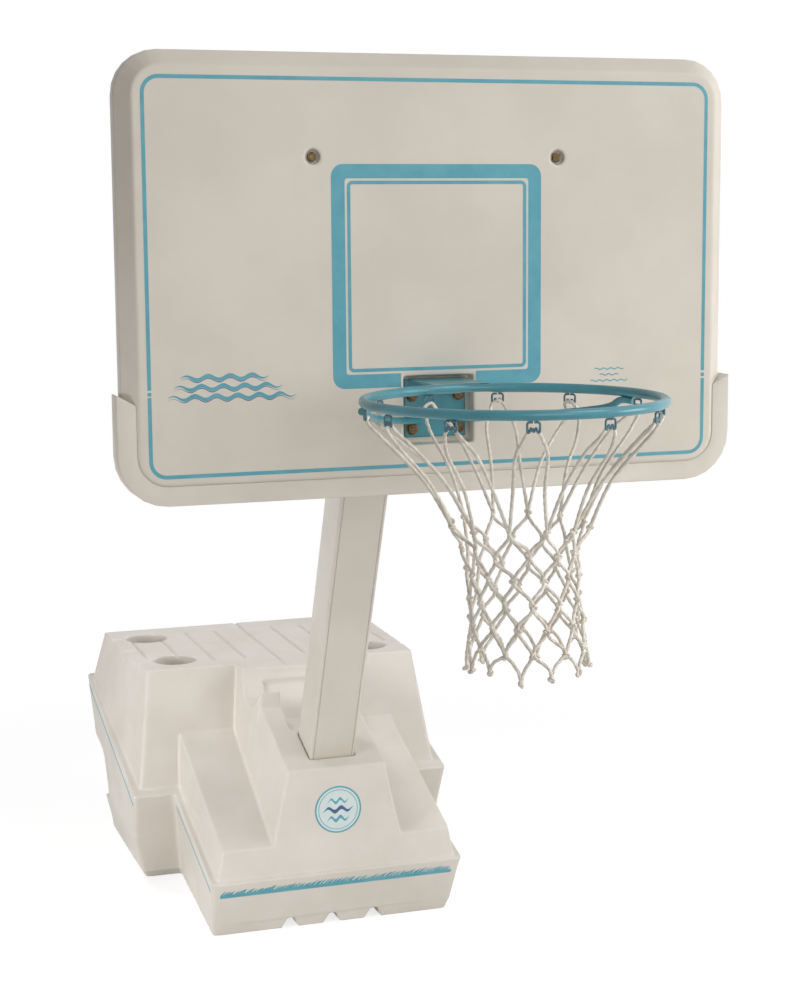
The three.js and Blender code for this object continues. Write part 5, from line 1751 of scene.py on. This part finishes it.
@dataclass
class Net:
    """The knotted net: a loop over each hook, then rows of diamonds.

    Attributes:
        ring: The ring that it hangs from.
        cord: The radius of its cord.
        lay: The length in which a strand goes round once.
        knot: How far a knot reaches.
        knot_cord: The radius of the cord in a knot.
        drops: How far each row of knots is below the ring.
        radii: How far it is from the ring's axis.
        sways: How far it is pushed aside.
        jitter: How far a knot may be off its even place.
        bends: Where a loop bends: how far below the ring, how far out and how far round to its knot.
        brace_bends: The same where a brace is in the way.
        steep: Where a cord between knots bends: the shares of its way down and aside.
        slack: The same in the lowest row, where cords hang in curves.
        apex_drop: How far below the ring a loop lies in its hook.
        seed: The seed of its small shifts.
    """

    ring: Ring
    cord: float = 2.75
    lay: float = 45.0
    knot: float = 5.2
    knot_cord: float = 2.35
    drops: tuple[float, ...] = (196, 235, 274, 313, 352, 391, 436)
    radii: tuple[float, ...] = (112, 93, 87, 86.5, 89, 94, 98)
    sways: tuple[float, ...] = (8, 11, 14, 19, 22, 24, 24)
    jitter: float = 3.4
    bends: tuple[Triple, ...] = ((38, 228, 0.24), (66, 202, 0.46), (125, 150, 0.62))
    brace_bends: tuple[Triple, ...] = ((46, 250, 0.16), (84, 206, 0.4), (125, 152, 0.62))
    steep: tuple[Pair, ...] = ((0.26, 0.15), (0.74, 0.85))
    slack: tuple[Pair, ...] = ((0.16, 0.36), (0.55, 0.8))
    apex_drop: float = 21.0
    seed: int = 23

    def build(self) -> None:
        """Build and dress the net as one piece."""
        knots = self.knots()
        lines = self.lines(knots)
        cords = SweptRod(12).sweep(
            "net_cords", lines, self.cord * MM, 2.6 * MM, CORD, turns=1 / (self.lay * MM), strands=3, depth=0.12)
        shape = SweptRod(8).sweep("net_knot_shape", [self.overhand()], self.knot_cord * MM, 2.0 * MM, CORD)
        tied = Scatter(self.seed).place(
            "net_knots", shape, [p * MM for row in knots for p in row], CORD, turn=math.pi, size_swing=0.12)
        net = joined("cord_net", [cords, tied])
        net.data.shade_smooth()
        dress(net, Body.BOARD, CORD, ["net"])

    def knots(self) -> list[list[Vector]]:
        """Place every knot, each a little off its even place.

        Returns:
            The places, row by row, in millimetres.
        """
        draw = random.Random(self.seed)
        rows = []
        count = self.ring.hook_count
        for row, (drop, radius, sway) in enumerate(zip(self.drops, self.radii, self.sways)):
            made = []
            for index in range(count):
                angle = 2 * math.pi * (index + (row % 2) / 2) / count
                place = self.ring.at(angle, radius, self.ring.height - drop) + Vector((sway, 0, 0))
                aside = shift(draw, self.jitter)
                if row == len(self.drops) - 1:
                    aside.z = draw.uniform(-2, 16)
                made.append(place + aside)
            rows.append(made)
        return rows

    def loop_side(self, angle: float, knot: float) -> list[Vector]:
        """Find where a loop bends on its way from a hook to a knot.

        Args:
            angle: The hook's angle.
            knot: The knot's angle.

        Returns:
            The bends, from the hook down.
        """
        spread = math.atan2(math.sin(knot - angle), math.cos(knot - angle))
        over_brace = abs(abs(angle) - math.radians(135)) < math.radians(5)
        made = []
        for drop, radius, fan in self.brace_bends if over_brace else self.bends:
            sway = self.sways[0] * (drop - self.apex_drop) / (self.drops[0] - self.apex_drop)
            made.append(self.ring.at(angle + spread * fan, radius, self.ring.height - drop) + Vector((sway, 0, 0)))
        return made

    def lines(self, knots: list[list[Vector]]) -> list[list[Vector]]:
        """Draw every cord from knot to knot.

        Args:
            knots: The knots' places, row by row.

        Returns:
            The cords' lines, in metres.
        """
        draw = random.Random(self.seed + 1)
        count = self.ring.hook_count
        apex_radius = self.ring.radius - self.ring.hook_wire - 3.0
        made = []
        for index in range(count):
            angle = self.ring.hook_angle(index)
            first, last = knots[0][index], knots[0][(index + 1) % count]
            before = self.loop_side(angle, 2 * math.pi * index / count)[::-1]
            after = self.loop_side(angle, 2 * math.pi * (index + 1) / count)
            apex = [self.ring.at(angle + side * 8.5 / apex_radius, apex_radius + abs(side) * 3,
                                 self.ring.height - self.apex_drop - abs(side) * 5.5) for side in (-1, 0, 1)]
            made.append(smooth_line([first, *before, *apex, *after, last], 4.0))
            for row in range(len(knots) - 1):
                for step in (-1, 0):
                    below = (index + step + row % 2) % count
                    a, b = knots[row][index], knots[row + 1][below]
                    made.append(self.strand(a, b, row == len(knots) - 2, draw))
        return [[p * MM for p in line] for line in made]

    def strand(self, above: Vector, below: Vector, lowest: bool, draw: random.Random) -> list[Vector]:
        """Draw one cord between two knots; it leaves either knot steeply.

        Args:
            above: The knot that it hangs from.
            below: The knot that it ends at.
            lowest: True in the last row.
            draw: The source of small shifts.

        Returns:
            The cord's line.
        """
        down = Vector((0, 0, below.z - above.z))
        aside = below - above - down
        bends = [above + down * fall + aside * slip + shift(draw, 1.5)
                 for fall, slip in (self.slack if lowest else self.steep)]
        return smooth_line([above, *bends, below], 4.0)

    def overhand(self) -> list[Vector]:
        """Draw an overhand knot round the origin, in metres."""
        return [Vector((math.sin(t) + 2 * math.sin(2 * t), math.cos(t) - 2 * math.cos(2 * t), -math.sin(3 * t)))
                * (self.knot / 3.0) * MM for t in full_turn(24, 1)]


# Section: studio


@dataclass(frozen=True)
class Lamp:
    """A soft square lamp.

    Attributes:
        name: Its name.
        place: Where it hangs.
        target: Where it faces.
        power: Its power, in watts.
        size: The length of its side.
        spread: The angle that its light keeps to, in degrees.
    """

    name: str
    place: Triple
    target: Triple
    power: float
    size: float
    spread: float = 180.0

    def hang(self) -> None:
        """Put the lamp in the scene, unseen itself."""
        data = bpy.data.lights.new(self.name, "AREA")
        data.energy = self.power
        data.size = self.size
        data.spread = math.radians(self.spread)
        lamp = placed(self.name, data)
        lamp.location = self.place
        lamp.visible_camera = False
        lamp.rotation_euler = (Vector(self.target) - Vector(self.place)).to_track_quat("-Z", "Y").to_euler()


@dataclass
class Studio:
    """The pale floor, the soft lamps and the camera at the photograph's place.

    Attributes:
        lamps: The lamps.
        sky: The light from all round.
        right_sky: How much more there is from the right.
        floor_reach: How far the floor goes, in metres.
        floor_glow: The light that keeps the floor pale near the hoop.
        floor_fade: From where to where the floor fades to plain white.
        eye: Where the camera is.
        azimuth: How far it looks to the right.
        pitch: How far it looks down.
        roll: How far it leans.
        lens: Its focal length, in millimetres.
    """

    lamps: tuple[Lamp, ...] = (
        Lamp("key", (2.2, -3.4, 4.4), (0.0, -0.8, 0.9), 39.0, 1.8),
        Lamp("front", (0.4, -5.0, 2.2), (0.0, -0.8, 0.9), 33.0, 2.5),
        Lamp("right", (3.2, -2.6, 1.4), (0.0, -0.4, 0.6), 33.0, 1.6),
        Lamp("left", (-2.6, -1.5, 0.8), (0.0, 0.0, 0.2), 6.2, 1.0, 62.0),
        Lamp("top", (-1.2, 0.2, 3.0), (0.0, 0.1, 0.3), 2.3, 0.8, 50.0),
    )
    sky: float = 0.22
    right_sky: float = 1.1
    floor_reach: float = 14.0
    floor_glow: float = 0.76
    floor_fade: Pair = (0.7, 2.0)
    eye: Triple = (-1.1536, -4.3537, 1.5067)
    azimuth: float = math.radians(18.614)
    pitch: float = math.radians(8.188)
    roll: float = math.radians(-0.409)
    lens: float = 71.18

    def build(self) -> None:
        """Set up the camera, the floor, the lamps and the world."""
        self.camera()
        self.floor()
        for lamp in self.lamps:
            lamp.hang()
        self.world()

    def camera(self) -> None:
        """Place the camera as fitted to the photograph."""
        level = math.cos(self.pitch)
        back = Vector((-math.sin(self.azimuth) * level, -math.cos(self.azimuth) * level, math.sin(self.pitch)))
        right = (-back).cross(Vector((0, 0, 1))).normalized()
        up = right.cross(-back)
        across = right * math.cos(self.roll) + up * math.sin(self.roll)
        above = -right * math.sin(self.roll) + up * math.cos(self.roll)
        data = bpy.data.cameras.new("photo_camera")
        data.lens = self.lens
        data.sensor_width = 36.0
        data.sensor_fit = "AUTO"
        data.clip_end = 60.0
        camera = placed("photo_camera", data)
        turn = Matrix((across, above, back)).transposed().to_4x4()
        camera.matrix_world = Matrix.Translation(self.eye) @ turn
        bpy.context.scene.camera = camera

    def floor(self) -> None:
        """Lay a pale floor that reads white and keeps the hoop's shadow."""
        corners = [(x * self.floor_reach, y * self.floor_reach, -0.5 * MM)
                   for x, y in ((-1, -1), (1, -1), (1, 1), (-1, 1))]
        floor = new_piece("studio_floor", corners, [(0, 1, 2, 3)])
        material = bpy.data.materials.new("studio_floor_paint")
        tree = blank_tree(material)
        seen = self.seen_ray(tree)
        place = add_node(tree, "ShaderNodeTexCoord").outputs["Object"]
        noise = add_node(tree, "ShaderNodeTexNoise", {"Vector": place, "Scale": 3.0, "Detail": 2.0})
        tone = add_node(tree, "ShaderNodeMapRange", {"Value": noise, "To Min": 0.34, "To Max": 0.36})
        paint = add_node(tree, "ShaderNodeBsdfDiffuse", {"Color": tone})
        glow = add_node(tree, "ShaderNodeEmission", {"Strength": self.floor_glow})
        both = add_node(tree, "ShaderNodeAddShader", {0: paint, 1: glow})
        white = add_node(tree, "ShaderNodeEmission", {"Strength": 1.0})
        reach_out = add_node(tree, "ShaderNodeVectorMath", {0: place}, operation="LENGTH")
        fade = add_node(tree, "ShaderNodeMapRange", {
            "Value": reach_out.outputs["Value"], "From Min": self.floor_fade[0], "From Max": self.floor_fade[1]},
            interpolation_type="SMOOTHSTEP")
        near = add_node(tree, "ShaderNodeMixShader", {0: fade, 1: both, 2: white})
        plain = add_node(tree, "ShaderNodeBsdfDiffuse", {"Color": linear("#e8e6e2")})
        mix = add_node(tree, "ShaderNodeMixShader", {0: seen, 1: plain, 2: near})
        add_node(tree, "ShaderNodeOutputMaterial", {"Surface": mix})
        floor.data.materials.append(material)

    @staticmethod
    def seen_ray(tree: Tree) -> Feed:
        """Tell rays that the eye follows from those that light the hoop.

        Args:
            tree: The material's or the world's tree.

        Returns:
            1 for rays that the eye follows, 0 for the others.
        """
        path = add_node(tree, "ShaderNodeLightPath").outputs
        first = add_node(tree, "ShaderNodeMath", {
            0: path["Is Camera Ray"], 1: path["Is Glossy Ray"]}, operation="MAXIMUM")
        return add_node(tree, "ShaderNodeMath", {0: first, 1: path["Is Transmission Ray"]}, operation="MAXIMUM")

    def world(self) -> None:
        """Light the hoop softly from all round, most from the right, and show the eye plain white."""
        world = bpy.data.worlds.new("studio_world")
        bpy.context.scene.world = world
        tree = blank_tree(world)
        seen = self.seen_ray(tree)
        way = add_node(tree, "ShaderNodeTexCoord").outputs["Generated"]
        across = add_node(tree, "ShaderNodeVectorMath", {0: way, 1: Vector((1, 0, 0))}, operation="DOT_PRODUCT")
        rightward = add_node(tree, "ShaderNodeMath", {0: across.outputs["Value"], 1: 0.0}, operation="MAXIMUM")
        level = add_node(tree, "ShaderNodeMath", {
            0: rightward, 1: self.right_sky, 2: self.sky}, operation="MULTIPLY_ADD")
        soft = add_node(tree, "ShaderNodeBackground", {"Color": linear("#ffffff"), "Strength": level})
        white = add_node(tree, "ShaderNodeBackground", {"Color": linear("#ffffff"), "Strength": 1.0})
        mix = add_node(tree, "ShaderNodeMixShader", {0: seen, 1: soft, 2: white})
        add_node(tree, "ShaderNodeOutputWorld", {"Surface": mix})


def main() -> None:
    """Build the scene, sub-assembly by sub-assembly."""
    Studio().build()
    bpy.context.scene.view_settings.view_transform = "Standard"
    Base().build()
    Pole().build()
    Hardware().build()
    Board().build()
    ring = Ring()
    ring.build()
    Net(ring).build()


if __name__ == "__main__":
    main()
